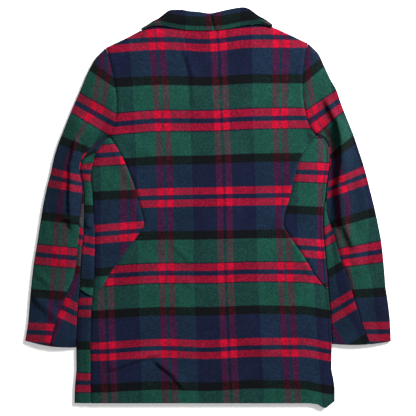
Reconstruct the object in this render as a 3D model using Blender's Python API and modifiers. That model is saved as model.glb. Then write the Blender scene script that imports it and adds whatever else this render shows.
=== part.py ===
"""Wool coat in a tartan check, laid flat on its front with the back up.

Every cloth piece is a thin wall. The body and both sleeves are flattened rings: a lower
layer flat on the floor, an upper layer just above it, and turned edges where the cloth
goes round from one to the other. +X is the wearer's right, +Y the collar, +Z up.
Tables are in millimetres and the scene is in metres.
"""
import math

import bmesh
import bpy

MM = 0.001
WALL = 2.4            # thickness of the wool cloth
SEAM_GAP = 0.3        # room between two pieces at a seam
EDGE_RADIUS = 2.6     # middle of the wall, where the cloth turns round an edge
LAYER_GAP = 0.3       # room between pieces that lie on each other
UPPER_LIE = 7.5       # middle of the upper layer above the floor, away from the edges
EDGE_DEPTH = 22.0     # how far in from an edge the upper layer reaches that height

CENTRE_FRONT = 6.0
FRONT_LAP = 30.0      # how far each front goes past the centre
NECK_TOP_Y = 356.0    # where the lapels' roll lines reach the shoulders
BREAK_Y = 110.0       # where the lapels begin to turn
ARMPIT_Y = 143.0
STRAIGHT_Y = 290.0    # below this the rows across the body run straight
TOP_ROW_Y = 330.0
POINT_Y = -34.0       # points of the two side back pieces
CORNER_Y = -179.0     # where the left one ends at the side seam
FOREARM_Y = 206.0     # a row where the forearm seam meets the armhole
HEM_Y = -391.0
POCKET_Y = -160.0     # pocket mouth at the turned edge of the front
POCKET_DIP = ((-4.1, 0.0), (4.1, 5.0), (14.0, 11.0), (24.0, 16.0))  # lower, this far round
POCKET_ROOM = 0.9     # between the two edges of the pocket mouth

BUTTON_RADIUS = 11.0
BUTTON_THICKNESS = 1.8
BUTTON_ROWS = (90.0, 10.0, -70.0)
BUTTON_X = CENTRE_FRONT

FLOOR_LIE = WALL / 2
EDGE_LIE = FLOOR_LIE + EDGE_RADIUS
QUARTER = EDGE_RADIUS * math.pi / 2
LAP_ROOM = 0.7        # between the fronts where they lie on each other
LAP_RISE = WALL + LAP_ROOM
SHOULDER_ROOM = 1.6   # at the shoulder seams, on the lower layer
TIP_ROOM = 0.7        # more at both ends of an armhole, where the cloth turns
UPPER_RISE = 2.0      # of the upper layer over the buttons
BUTTON_RISE = BUTTON_THICKNESS + LAYER_GAP

# Body edges from the armpit to the hem: height up the coat, left edge, right edge.
BODY_EDGES = (
    # y, left, right
    (143, -196.0, 215.0), (131, -208.6, 226.6), (119, -219.6, 235.0), (91, -228.0, 239.6),
    (75, -236.0, 238.6), (51, -246.6, 234.0), (9, -245.2, 229.2), (-28, -245.2, 227.2),
    (-87, -250.0, 231.2), (-143, -252.6, 236.0), (-185, -257.2, 239.6), (-239, -261.2, 243.4),
    (-321, -263.4, 247.4), (-345, -265.6, 251.6), (-367, -267.2, 254.0), (-391, -267.6, 254.0),
)

# Side seams on the upper layer, measured in from the turned edge.
SIDE_SEAMS = (
    # y, left, right
    (143, 4.2, 4.2), (75, 4.6, 4.2), (51, 12.6, 4.2), (9, 15.6, 4.2), (-33, 18.0, 4.2),
    (-79, 23.6, 4.2), (-143, 25.0, 4.2), (-199, 25.6, 4.2), (-239, 27.6, 4.2),
    (-321, 29.2, 4.2), (-345, 31.0, 4.6), (-367, 32.6, 6.0), (-391, 33.0, 6.4),
)

# Armholes, from the shoulder tips to the armpits.
ARMHOLES = (
    # y, left, right
    (330, -207.0, 200.2), (319, -204.2, 197.8), (301, -198.4, 194.2), (275, -192.0, 190.8),
    (245, -186.4, 189.6), (219, -182.6, 191.0), (189, -183.0, 195.4), (163, -187.2, 203.6),
    (152, -192.0, 209.6), (143, -196.8, 216.0),
)

# Seams between the centre back and the side back pieces: out to a point and in again.
BACK_SEAMS = (
    # y, left, right
    (143, -196.6, 215.8), (113, -178.0, 192.0), (78, -160.6, 178.0), (43, -147.0, 168.6),
    (9, -138.0, 160.0), (-18, -130.0, 152.2), (-34, -127.8, 151.6), (-50, -136.6, 159.6),
    (-71, -152.0, 173.0), (-91, -167.6, 187.0), (-111, -181.2, 200.0), (-137, -199.0, 214.8),
    (-160, -212.4, 233.2), (-179, -231.1, 238.6),
)

# Seams between the fronts and the side fronts, on the lower layer.
FRONT_SEAMS = (
    # y, left, right
    (143, -196.8, 216.0), (131, -200.0, 215.0), (110, -203.0, 212.0), (60, -206.0, 196.0),
    (-28, -205.0, 187.0), (-160, -211.0, 194.0),
)

# Shoulder line, with the neck seam between its two inner ends.
SHOULDER_LINE = (
    # x, y
    (-207, 319.2), (-167, 338.0), (-134, 355.0), (-120, 362.0), (-106, 366.0), (108, 366.0),
    (118, 365.6), (130, 362.0), (164, 346.0), (186, 335.6), (201, 328.6),
)
NECK_LEFT = -138.0
NECK_RIGHT = 138.0
NECK_BLEND = 14.0

# Width of a lapel, in from its roll line.
LAPEL_WIDTHS = (
    # y, width
    (186, 6.0), (210, 34.0), (262, 70.0), (290, 52.0), (352, 34.0),
)

# Drop of the hem below its straight line.
HEM_DROP = (
    # x, drop
    (-268, 0.0), (206, 0.0), (219, 2.4), (228, 8.0), (235, 9.6), (244, 3.0), (254, -4.0),
)
HEM_DROP_REACH = 60.0

# Collar across the back neck: the rolled top, and the free edge of the fall.
COLLAR = (
    # x, roll, free edge
    (-118, 370.0, 360.6), (-112, 372.6, 362.0), (-98, 378.8, 363.8), (-73, 395.4, 360.0),
    (-55, 395.8, 356.6), (-38, 393.0, 354.8), (-18, 391.2, 353.8), (3, 388.4, 354.0),
    (22, 391.8, 355.0), (42, 396.4, 358.0), (71, 400.6, 363.6), (79, 398.6, 364.8),
    (101, 383.6, 366.6), (114, 376.6, 365.0), (120, 372.8, 363.0),
)
COLLAR_RADIUS = 2.2
COLLAR_PUFF = 1.6     # how far the fall stands away above its free edge

# Sleeves: outer edge, inner edge, and how far the back seam lies in from the inner edge.
LEFT_SLEEVE = (
    # outer x, outer y, inner x, inner y, back seam
    (-207.8, 319.4, -199.0, 145.4, 4.2), (-227.6, 298.4, -210.4, 136.2, 4.2),
    (-236.0, 281.0, -220.0, 128.0, 4.2), (-243.6, 264.0, -230.0, 119.5, 4.2),
    (-256.8, 232.2, -240.0, 110.5, 4.2), (-266.0, 211.0, -248.5, 102.0, 4.2),
    (-274.0, 192.4, -253.0, 92.0, 4.2), (-291.2, 149.8, -256.0, 75.0, 4.2),
    (-300.6, 126.0, -253.8, 62.0, 4.2), (-310.0, 94.2, -250.5, 49.0, 4.2),
    (-315.2, 70.2, -249.2, 37.0, 4.2), (-322.0, 43.8, -248.4, 24.0, 4.2),
    (-331.0, 1.2, -248.2, -8.0, 7), (-336.4, -32.8, -248.6, -40.0, 9),
    (-343.0, -74.8, -252.0, -78.0, 9), (-348.4, -106.8, -254.6, -109.0, 9),
    (-352.4, -138.8, -255.8, -141.0, 14), (-355.0, -164.8, -257.6, -168.0, 24),
    (-357.0, -186.8, -260.4, -191.0, 29), (-360.2, -226.8, -262.6, -231.0, 42),
    (-366.4, -266.2, -264.2, -279.8, 54),
)
RIGHT_SLEEVE = (
    # outer x, outer y, inner x, inner y, back seam
    (201.2, 328.8, 218.0, 147.4, 4.2), (221.6, 307.8, 230.6, 138.0, 4.2),
    (230.8, 287.8, 239.8, 125.5, 4.2), (244.0, 259.2, 243.8, 111.5, 4.2),
    (257.4, 235.2, 244.0, 98.0, 4.2), (265.4, 211.2, 243.0, 86.0, 4.2),
    (276.0, 184.4, 241.6, 73.0, 4.2), (291.8, 145.2, 238.6, 56.0, 4.2),
    (302.0, 115.2, 237.0, 40.0, 4.2), (310.0, 91.2, 235.4, 26.0, 4.2),
    (318.0, 63.2, 233.4, 10.0, 4.2), (326.0, 31.2, 231.4, -10.0, 6),
    (334.0, -0.8, 230.4, -32.0, 14), (340.0, -28.8, 231.4, -52.0, 20),
    (347.6, -68.8, 233.8, -80.0, 25), (351.0, -98.8, 236.2, -107.0, 30),
    (353.8, -130.0, 238.8, -135.0, 39), (356.0, -158.8, 240.8, -162.0, 45),
    (360.0, -184.8, 243.0, -188.0, 50), (365.0, -228.8, 246.6, -231.0, 62),
    (366.6, -267.6, 248.0, -273.0, 76),
)
ARMHOLE_STATIONS = 3.0      # stations over which a sleeve loses the armhole's curve
FOREARM_CUFF = 26.0   # forearm seam at the cuff, round from the middle of the inner edge
CUFF_SAG = 3.6
FOREARM_ROOM = 1.0    # at the forearm seam, which runs slanting to the sections
HANDLE = 0.3          # how far a section keeps square to the edges, as a share of its width
SECTION_STEPS = 24

# Main folds of the upper layer: a ridge or, with a negative height, a trough.
FOLDS = (
    # start x, start y, end x, end y, half width, height
    (-186, -323, -134, -301, 9, -1.2), (-134, -301, -98, -294, 8, -1.0),
    (-98, -314, -72, -333, 8, -1.0), (-72, -333, -52, -361, 8, -0.9),
    (-66, -83, -44, -105, 7, -0.8), (-40, -157, -18, -165, 7, -0.7),
    (-48, 309, -34, 250, 12, -0.9), (-180, 150, -120, 118, 14, 0.9),
    (196, 160, 140, 112, 14, 0.9), (-120, 10, -70, 30, 14, 0.7),
    (140, -20, 90, -6, 14, 0.7), (120, -330, 180, -290, 14, 0.7),
    (-273, 115, -279, 81, 8, 2.2), (-279, 81, -281, 2, 8, 2.6),
    (-281, 2, -271, -35, 9, 1.4), (-340, -183, -296, -225, 8, -1.0),
    (262, 130, 252, 40, 12, 1.6), (300, 60, 318, 10, 12, 0.9),
    (330, -90, 290, -118, 12, 0.9), (-236, 200, -214, 160, 12, 1.2),
)

# Cloth pieces: middle colour of the check on each, red, green, blue.
COLOURS = {
    "back_centre": (0.115, 0.045, 0.062),
    "back_side_left": (0.075, 0.048, 0.065),
    "back_side_right": (0.085, 0.052, 0.062),
    "front_side_left": (0.045, 0.062, 0.068),
    "front_side_right": (0.050, 0.058, 0.070),
    "front_left": (0.090, 0.045, 0.062),
    "front_right": (0.095, 0.048, 0.060),
    "lapel_left": (0.060, 0.050, 0.070),
    "lapel_right": (0.065, 0.046, 0.070),
    "upper_sleeve_left": (0.080, 0.052, 0.068),
    "upper_sleeve_right": (0.082, 0.050, 0.068),
    "under_sleeve_left": (0.042, 0.045, 0.075),
    "under_sleeve_right": (0.040, 0.046, 0.078),
    "collar": (0.055, 0.035, 0.060),
}
BUTTON_COLOUR = (0.035, 0.022, 0.016)


def curve(rows, at, column=1):
    """Value of a table's column at a place in its first column, with no overshoot."""
    keys = [row[0] for row in rows]
    values = [row[column] for row in rows]
    if keys[0] > keys[-1]:
        keys.reverse()
        values.reverse()
    if at <= keys[0]:
        return values[0]
    if at >= keys[-1]:
        return values[-1]
    k = max(i for i in range(len(keys) - 1) if keys[i] <= at)
    slopes = [(values[i + 1] - values[i]) / (keys[i + 1] - keys[i]) for i in range(len(keys) - 1)]

    def tangent(i):
        if i == 0:
            return slopes[0]
        if i == len(slopes):
            return slopes[-1]
        before, after = slopes[i - 1], slopes[i]
        return 0.0 if before * after <= 0 else 2 * before * after / (before + after)

    step = keys[k + 1] - keys[k]
    t = (at - keys[k]) / step
    start, end = tangent(k) * step, tangent(k + 1) * step
    return (values[k] * (2 * t**3 - 3 * t**2 + 1) + start * (t**3 - 2 * t**2 + t)
            + values[k + 1] * (3 * t**2 - 2 * t**3) + end * (t**3 - t**2))


def mix(a, b, t):
    return a + (b - a) * t


def ease(t):
    """Smooth step from 0 to 1."""
    t = min(1.0, max(0.0, t))
    return t * t * (3 - 2 * t)


def spread(start, end, count):
    """Even steps from start to end, with neither the first nor a repeat of it."""
    return [mix(start, end, (k + 1) / count) for k in range(count)]


SHOULDER_ROWS = [mix(TOP_ROW_Y, STRAIGHT_Y, k / 3) for k in (1, 2)]
SHOULDER_SEAM = -QUARTER - 0.6
TURN_ROWS = [SHOULDER_SEAM + SEAM_GAP / 2] + [QUARTER * k / 3 for k in range(-3, 4)]
BODY_ROWS = [TOP_ROW_Y, STRAIGHT_Y]
for end, count in ((ARMPIT_Y, 7), (POINT_Y, 8), (POCKET_Y, 6), (CORNER_Y, 1), (HEM_Y, 9)):
    BODY_ROWS += spread(BODY_ROWS[-1], end, count)
ARMHOLE_ROWS = [y for y in BODY_ROWS if y >= ARMPIT_Y]
FRONT_ARMHOLE_ROWS = (TOP_ROW_Y, STRAIGHT_Y, FOREARM_Y, ARMPIT_Y)


def seam_x(table, y, column, heights=BODY_ROWS):
    """A seam's x: straight between the two rows around y, so that neighbours match."""
    above = min((h for h in heights if h >= y), default=heights[0])
    below = max((h for h in heights if h < y), default=heights[-1])
    if above == below or not heights[-1] <= y <= heights[0]:
        return curve(table, y, column)
    share = (y - below) / (above - below)
    return mix(curve(table, below, column), curve(table, above, column), share)


def folds(x, y):
    """Height that the main folds add to the upper layer."""
    total = 0.0
    for x1, y1, x2, y2, width, height in FOLDS:
        dx, dy = x2 - x1, y2 - y1
        t = min(1.0, max(0.0, ((x - x1) * dx + (y - y1) * dy) / (dx * dx + dy * dy)))
        off = math.hypot(x - x1 - dx * t, y - y1 - dy * t)
        total += height * math.exp(-(off / width) ** 2)
    return total


def near_button(x, y, full, reach):
    """1 over a button, falling to 0 at the reach."""
    off = min(math.hypot(x - BUTTON_X, y - row) for row in BUTTON_ROWS)
    return ease((reach - off) / (reach - full))


def upper_lie(x, y, inset):
    """Middle of the upper layer, at this distance in from the nearest turned edge."""
    edge = FLOOR_LIE + 2 * EDGE_RADIUS
    body = mix(edge, UPPER_LIE, ease(inset / EDGE_DEPTH))
    return body + folds(x, y) * ease(inset / 12) + UPPER_RISE * near_button(x, y, 34, 84)


def turn(s):
    """Inset and lift at a distance s round an edge: s is 0 at its outermost line."""
    if abs(s) < QUARTER:
        angle = s / EDGE_RADIUS
        return EDGE_RADIUS * (1 - math.cos(angle)), math.sin(angle)
    return EDGE_RADIUS + abs(s) - QUARTER, math.copysign(1.0, s)


def round_distance(inset):
    """Distance round an edge to a line that lies this far in from its outer face."""
    inset -= WALL / 2
    if inset <= 0:
        return 0.0
    if inset < EDGE_RADIUS:
        return EDGE_RADIUS * math.acos(1 - inset / EDGE_RADIUS)
    return inset - EDGE_RADIUS + QUARTER


def height(lift, upper, lower):
    """Height of the wall's middle between the two layers."""
    return EDGE_LIE + lift * ((upper - EDGE_LIE) if lift > 0 else (EDGE_LIE - lower))


def side(is_left):
    """Column of the two-sided tables, and the direction in from that edge."""
    return (1, 1.0) if is_left else (2, -1.0)


def slant_gap(rows, y, column):
    """Half a seam gap, measured along x, for a seam that leans."""
    lean = (curve(rows, y + 2, column) - curve(rows, y - 2, column)) / 4
    return SEAM_GAP / 2 * math.hypot(1, lean)


def body_point(is_left, s, y, lower=FLOOR_LIE):
    """Point on the body's ring, a distance s round from its left or right edge."""
    column, inward = side(is_left)
    inset, lift = turn(s)
    x = seam_x(BODY_EDGES, y, column) + inward * (WALL / 2 + inset)
    other = abs(seam_x(BODY_EDGES, y, 3 - column) - x)
    return x, y, height(lift, upper_lie(x, y, min(inset, other)), lower)


def to_round(is_left, x, y):
    """Distance round the edge to a line at x on the upper layer."""
    column, inward = side(is_left)
    return round_distance(inward * (x - seam_x(BODY_EDGES, y, column)))


def side_seam_round(is_left, y, gap_side):
    """The side seam as a distance round the edge, half a seam gap to one side of it."""
    column, _ = side(is_left)
    return round_distance(seam_x(SIDE_SEAMS, y, column)) + gap_side * SEAM_GAP / 2


def hem_y(x, y):
    """Lower rows follow the drop of the hem."""
    return y - curve(HEM_DROP, x) * ease((HEM_DROP_REACH - (y - HEM_Y)) / HEM_DROP_REACH)


def neck_share(x):
    """1 along the neck seam, 0 along the shoulders."""
    return min(ease((x - NECK_LEFT) / NECK_BLEND), ease((NECK_RIGHT - x) / NECK_BLEND))


def shoulder_row(x, y):
    """Rows above the straight ones bend to follow the shoulder line."""
    if y <= STRAIGHT_Y:
        return y
    share = (y - STRAIGHT_Y) / (TOP_ROW_Y - STRAIGHT_Y)
    return mix(STRAIGHT_Y, curve(SHOULDER_LINE, x), share)


def shoulder_turn(x, s):
    """The upper layer's last rows, turned round the shoulder down to the floor."""
    inset, lift = turn(s)
    share = 1 - neck_share(x)
    y = curve(SHOULDER_LINE, x) - share * (WALL / 2 + inset) - (1 - share) * (s - SHOULDER_SEAM)
    upper = upper_lie(x, y, mix(EDGE_DEPTH, inset, share))
    return x, y, height(mix(1.0, lift, share), upper, FLOOR_LIE)


def add_grid(bm, columns, rows, place):
    """A grid of cells, each corner put where place says."""
    made = bmesh.ops.create_grid(bm, x_segments=columns, y_segments=rows, size=0.5)
    for vert in made["verts"]:
        i = round((vert.co.x + 0.5) * columns)
        j = round((vert.co.y + 0.5) * rows)
        vert.co = [value * MM for value in place(i, j)]


def cloth_material(name, colour, roughness):
    material = bpy.data.materials.new(name)
    material.use_nodes = True
    shader = material.node_tree.nodes["Principled BSDF"]
    shader.inputs["Base Color"].default_value = (*colour, 1)
    shader.inputs["Roughness"].default_value = roughness
    shader.inputs["Metallic"].default_value = 0.0
    return material


def cloth(coat, name, grids):
    """One cloth piece from its grids, thickened both ways from the middle."""
    bm = bmesh.new()
    for columns, rows, place in grids:
        add_grid(bm, columns, rows, place)
    bmesh.ops.remove_doubles(bm, verts=bm.verts, dist=0.02 * MM)
    mesh = bpy.data.meshes.new(name)
    bm.to_mesh(mesh)
    bm.free()
    mesh.shade_smooth()
    mesh.materials.append(cloth_material(name + "_cloth", COLOURS[name], 0.95))
    piece = bpy.data.objects.new(name, mesh)
    coat.objects.link(piece)
    solidify = piece.modifiers.new("wall", "SOLIDIFY")
    solidify.thickness = WALL * MM
    solidify.offset = 0.0
    return piece


def back_centre(coat):
    """From the neck and shoulders to the hem, between the armholes and back seams."""
    rows = SHOULDER_ROWS + BODY_ROWS[1:]
    shares = [k / 12 for k in range(12)] + [0.94, 0.96, 0.975, 1.0]

    def border(is_left, y):
        column, inward = side(is_left)
        if y <= (CORNER_Y if is_left else POCKET_Y):
            return body_point(is_left, side_seam_round(is_left, y, 1), y)[0]
        table = ARMHOLES if y >= ARMPIT_Y else BACK_SEAMS
        return seam_x(table, y, column) + inward * slant_gap(table, y, column)

    def place(i, j):
        turned = j < len(TURN_ROWS)
        row_y = TOP_ROW_Y if turned else rows[j - len(TURN_ROWS)]
        down = WALL / 2 + turn(TURN_ROWS[j])[0] if turned else 0.0
        left = border(True, shoulder_row(-205, row_y) - down)
        right = border(False, shoulder_row(199, row_y) - down)
        x = mix(left, right, shares[i])
        if turned:
            return shoulder_turn(x, TURN_ROWS[j])
        y = hem_y(x, shoulder_row(x, row_y))
        inset = EDGE_DEPTH
        if row_y > STRAIGHT_Y:
            inset = mix(curve(SHOULDER_LINE, x) - y - WALL / 2, EDGE_DEPTH, neck_share(x))
        elif row_y < ARMPIT_Y:
            inset = min(x - seam_x(BODY_EDGES, row_y, 1), seam_x(BODY_EDGES, row_y, 2) - x)
            inset -= WALL / 2
        return x, y, upper_lie(x, y, inset)

    grid = (len(shares) - 1, len(TURN_ROWS) + len(rows) - 1, place)
    cloth(coat, "back_centre", [grid])


def back_side(coat, is_left):
    """The side back: from the side seam in to the pointed back seam."""
    column, inward = side(is_left)
    corner = CORNER_Y if is_left else POCKET_Y
    rows = [ARMPIT_Y - 7] + [y for y in BODY_ROWS if corner < y < ARMPIT_Y] + [corner + 5]
    columns = 5

    def place(i, j):
        y = rows[j]
        inner_x = seam_x(BACK_SEAMS, y, column) - inward * slant_gap(BACK_SEAMS, y, column)
        seam = side_seam_round(is_left, y, 1)
        return body_point(is_left, mix(seam, to_round(is_left, inner_x, y), i / columns), y)

    name = "back_side_left" if is_left else "back_side_right"
    cloth(coat, name, [(columns, len(rows) - 1, place)])


def round_columns(seam, inner, floor_columns):
    """Places round an edge, from a seam on the upper layer over it and in along the floor."""
    first = min(seam - 1.0, QUARTER)
    places = [seam, mix(seam, first, 0.5), first]
    places += spread(first, -QUARTER, 4)
    return places + spread(-QUARTER, inner, floor_columns)


def front_seam_round(is_left, y, gap_side):
    """The front seam as a distance round the edge, on the lower layer."""
    column, inward = side(is_left)
    x = seam_x(FRONT_SEAMS, y, column) + gap_side * inward * slant_gap(FRONT_SEAMS, y, column)
    edge = seam_x(BODY_EDGES, y, column)
    return -round_distance(inward * (x - edge))


def pocket_dip(is_left, s, y):
    """The pocket mouth dips towards the side seam, and rows near it follow."""
    dip = curve(POCKET_DIP, s) if is_left else 0.0
    return y - dip * ease(1 - abs(y - POCKET_Y) / 60)


def front_side(coat, is_left):
    """The side front, down to the pocket mouth."""
    rows = [ARMPIT_Y - 7] + [y for y in BODY_ROWS if POCKET_Y < y < ARMPIT_Y]
    rows.append(POCKET_Y + POCKET_ROOM / 2)

    def place(i, j):
        seam = side_seam_round(is_left, pocket_dip(is_left, 99, rows[j]), -1)
        s = round_columns(seam, front_seam_round(is_left, rows[j], -1), 1)[i]
        return body_point(is_left, s, pocket_dip(is_left, s, rows[j]))

    name = "front_side_left" if is_left else "front_side_right"
    cloth(coat, name, [(7, len(rows) - 1, place)])


def roll_line(is_left, y):
    """Inner edge of a front: straight below the break, then along the lapel's roll."""
    low = CENTRE_FRONT + (FRONT_LAP if is_left else -FRONT_LAP)
    top = -112.0 if is_left else 110.0
    return low if y <= BREAK_Y else mix(low, top, (y - BREAK_Y) / (NECK_TOP_Y - BREAK_Y))


def lower_lie(is_left, x, y):
    """Middle of a front: on the floor, over a lapel, over the other front, over a button."""
    _, inward = side(is_left)
    from_roll = inward * (roll_line(is_left, y) - x)
    on_lapel = ease((curve(LAPEL_WIDTHS, y) + 62 - from_roll) / 12) * ease((y - 166) / 12)
    on_lapel *= ease((curve(SHOULDER_LINE, x) - y - 8) / 14)
    on_front = ease((x - (CENTRE_FRONT - FRONT_LAP) + 15) / 12) if is_left else 0.0
    buttons = BUTTON_RISE * near_button(x, y, 31, 60)
    return FLOOR_LIE + LAP_RISE * max(on_lapel, on_front) + buttons


def front(coat, is_left):
    """A front: armhole to roll line above, and round the edge to the side seam below."""
    column, inward = side(is_left)
    split = BODY_ROWS.index(POCKET_Y)
    rows = [TOP_ROW_Y] + SHOULDER_ROWS + BODY_ROWS[1:split + 1]
    low_rows = BODY_ROWS[split:]
    shares = (0, 0.24, 0.45, 0.62, 0.75, 0.84, 0.92, 1.0)
    across = len(shares) - 1
    round_count = 10
    floor_reach = 28.0

    def flat_point(share, row_y):
        drop = WALL / 2 + turn(SHOULDER_SEAM)[0] + SHOULDER_ROOM if row_y == TOP_ROW_Y else 0.0
        side_y = shoulder_row(-202 * inward, row_y) - drop
        above = side_y >= ARMPIT_Y
        table = ARMHOLES if above else FRONT_SEAMS
        heights = FRONT_ARMHOLE_ROWS if above else BODY_ROWS
        outer = seam_x(table, side_y, column, heights) + inward * slant_gap(table, side_y, column)
        x = mix(outer, roll_line(is_left, side_y), share)
        return x, hem_y(x, shoulder_row(x, row_y)) - drop

    def upper_place(i, j):
        x, y = flat_point(shares[i], rows[j])
        return x, y, lower_lie(is_left, x, y)

    def lower_place(i, j):
        row_y = low_rows[j]
        if i >= round_count:
            x, y = flat_point(shares[i - round_count], row_y)
            return x, y, lower_lie(is_left, x, y)
        seam = side_seam_round(is_left, pocket_dip(is_left, 99, row_y), -1)
        s = round_columns(seam, -QUARTER - floor_reach, 3)[i]
        gap = POCKET_ROOM / 2 if j == 0 else 0.0
        x, y, z = body_point(is_left, s, pocket_dip(is_left, s, row_y) - gap)
        return x, hem_y(x, y), z

    name = "front_left" if is_left else "front_right"
    upper_grid = (across, len(rows) - 1, upper_place)
    lower_grid = (round_count + across, len(low_rows) - 1, lower_place)
    cloth(coat, name, [upper_grid, lower_grid])


def lapel(coat, is_left):
    """A turned lapel, flat on the floor under its front."""
    _, inward = side(is_left)
    rows = [188.0] + spread(188, 262, 4) + spread(262, 320, 3)
    across = 3

    def place(i, j):
        y = rows[j]
        x = roll_line(is_left, y) - inward * (1.0 + curve(LAPEL_WIDTHS, y) * i / across)
        return x, y, FLOOR_LIE

    name = "lapel_left" if is_left else "lapel_right"
    cloth(coat, name, [(across, len(rows) - 1, place)])


def sleeve(coat, is_left):
    """The upper sleeve, from the back seam over the outer edge to the forearm seam, and
    the under sleeve between those seams round the inner edge."""
    table = [(k, *row) for k, row in enumerate(LEFT_SLEEVE if is_left else RIGHT_SLEEVE)]
    last = len(table) - 1
    column, inward = side(is_left)
    rows = 18

    sections = {}

    def edge_normal(station, x_column, y_column, towards):
        """Unit direction square to an edge of the sleeve, into the sleeve."""
        before, after = max(station - 0.3, 0.0), min(station + 0.3, last)
        dx = curve(table, after, x_column) - curve(table, before, x_column)
        dy = curve(table, after, y_column) - curve(table, before, y_column)
        length = math.hypot(dx, dy) * towards * inward
        return dy / length, -dx / length

    def section(station):
        """Plan line across the sleeve, square to both edges: length so far, x, y."""
        if station in sections:
            return sections[station]
        ox, oy, ix, iy = (curve(table, station, k) for k in (1, 2, 3, 4))
        width = math.hypot(ox - ix, oy - iy)
        across = ((ox - ix) / width, (oy - iy) / width)
        square = ease(station / 2)
        inner = edge_normal(station, 3, 4, 1)
        outer = edge_normal(station, 1, 2, -1)
        reach = width * HANDLE
        x1 = ix + reach * mix(across[0], inner[0], square)
        y1 = iy + reach * mix(across[1], inner[1], square)
        x2 = ox + reach * mix(-across[0], outer[0], square)
        y2 = oy + reach * mix(-across[1], outer[1], square)
        line = []
        for k in range(SECTION_STEPS + 1):
            t = k / SECTION_STEPS
            a, b, c, d = (1 - t)**3, 3 * t * (1 - t)**2, 3 * t * t * (1 - t), t**3
            x, y = a * ix + b * x1 + c * x2 + d * ox, a * iy + b * y1 + c * y2 + d * oy
            far = line[-1][0] + math.hypot(x - line[-1][1], y - line[-1][2]) if line else 0.0
            line.append((far, x, y))
        sections[station] = line
        return line

    def half_ring(station):
        return section(station)[-1][0] - WALL - 2 * EDGE_RADIUS + 2 * QUARTER

    def place_on(station, s):
        """Point a distance s round from the middle of the inner edge: floor below 0."""
        line = section(station)
        width = line[-1][0]
        half = half_ring(station)
        reach = abs(s)
        if reach > half / 2:
            far, lift = turn(half - reach)
            inset = width - WALL - far
            lift = abs(lift) * (1 if s > 0 else -1) if reach < half else -abs(lift)
        else:
            inset, lift = turn(s)
        far = inset + WALL / 2
        k = min(sum(1 for point in line[1:] if point[0] < far), len(line) - 2)
        part = (far - line[k][0]) / (line[k + 1][0] - line[k][0])
        x, y = mix(line[k][1], line[k + 1][1], part), mix(line[k][2], line[k + 1][2], part)
        share = far / width
        hold = ease(1 - station / ARMHOLE_STATIONS)
        if hold > 0:
            x += hold * armhole_bulge(share, lift)
        y -= CUFF_SAG * math.sin(math.pi * share) * ease(station - last + 1)
        near = min(inset, width - WALL - inset)
        near = mix(near, min(EDGE_DEPTH, 4 * near), hold)
        return x, y, height(lift, upper_lie(x, y, near), FLOOR_LIE)

    def armhole_bulge(share, lift):
        """How far the armhole curves away from the straight line between its ends."""
        ox, oy, ix, iy = (curve(table, 0, k) for k in (1, 2, 3, 4))
        y = mix(iy, oy, share)
        heights = ARMHOLE_ROWS if lift > 0 else FRONT_ARMHOLE_ROWS
        gap = inward * slant_gap(ARMHOLES, y, column)
        gap += inward * TIP_ROOM * max(ease((share - 0.92) / 0.05), ease((0.1 - share) / 0.06))
        return seam_x(ARMHOLES, y, column, heights) - gap - mix(ix, ox, share)

    def at_height(y):
        """Distance round at the armhole to a row of the body, on the upper layer."""
        oy, iy = curve(table, 0, 2), curve(table, 0, 4)
        inset = (y - iy) / (oy - iy) * section(0)[-1][0] - WALL / 2
        return inset - EDGE_RADIUS + QUARTER

    low, high = SEAM_GAP / 2 + QUARTER, half_ring(0) - QUARTER
    row_shares = [(at_height(y) - low) / (high - low) for y in reversed(ARMHOLE_ROWS[1:-1])]
    forearm_top = at_height(FOREARM_Y)

    def forearm_round(station):
        return mix(forearm_top, FOREARM_CUFF, ease(station / last))

    def forearm_point(station, away):
        """Point beside the forearm seam, square to its run below the armhole."""
        if station == 0:
            return place_on(0, -forearm_round(0) - away * FOREARM_ROOM / 2)
        before, after = max(station - 0.5, 0.0), min(station + 0.5, last)
        x1, y1, _ = place_on(before, -forearm_round(before))
        x2, y2, _ = place_on(after, -forearm_round(after))
        length = math.hypot(x2 - x1, y2 - y1) * inward * away
        x, y, z = place_on(station, -forearm_round(station))
        room = FOREARM_ROOM / 2
        return x + room * (y2 - y1) / length, y - room * (x2 - x1) / length, z

    def upper_place(i, j):
        station = last * j / rows
        half = half_ring(station)
        start = round_distance(curve(table, station, 5)) + SEAM_GAP / 2
        places = [start + QUARTER * k / 3 for k in range(4)]
        places += [mix(start + QUARTER, half - QUARTER, share) for share in row_shares]
        places.append(half - QUARTER)
        places += spread(half - QUARTER, half + QUARTER, 6)
        forearm = forearm_round(station)
        front_share = (at_height(STRAIGHT_Y) - forearm_top) / (high - forearm_top)
        places.append(2 * half - mix(forearm, half - QUARTER, front_share))
        if i == len(places):
            return forearm_point(station, 1)
        s = places[i]
        return place_on(station, s if s <= half else s - 2 * half)

    def under_place(i, j):
        station = last * j / rows
        back = round_distance(curve(table, station, 5)) - SEAM_GAP / 2
        places = round_columns(back, -forearm_round(station), 1)
        return forearm_point(station, -1) if i == len(places) - 1 else place_on(station, places[i])

    ending = "left" if is_left else "right"
    upper_columns = 3 + len(row_shares) + 1 + 6 + 2
    cloth(coat, "upper_sleeve_" + ending, [(upper_columns, rows, upper_place)])
    cloth(coat, "under_sleeve_" + ending, [(7, rows, under_place)])


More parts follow.
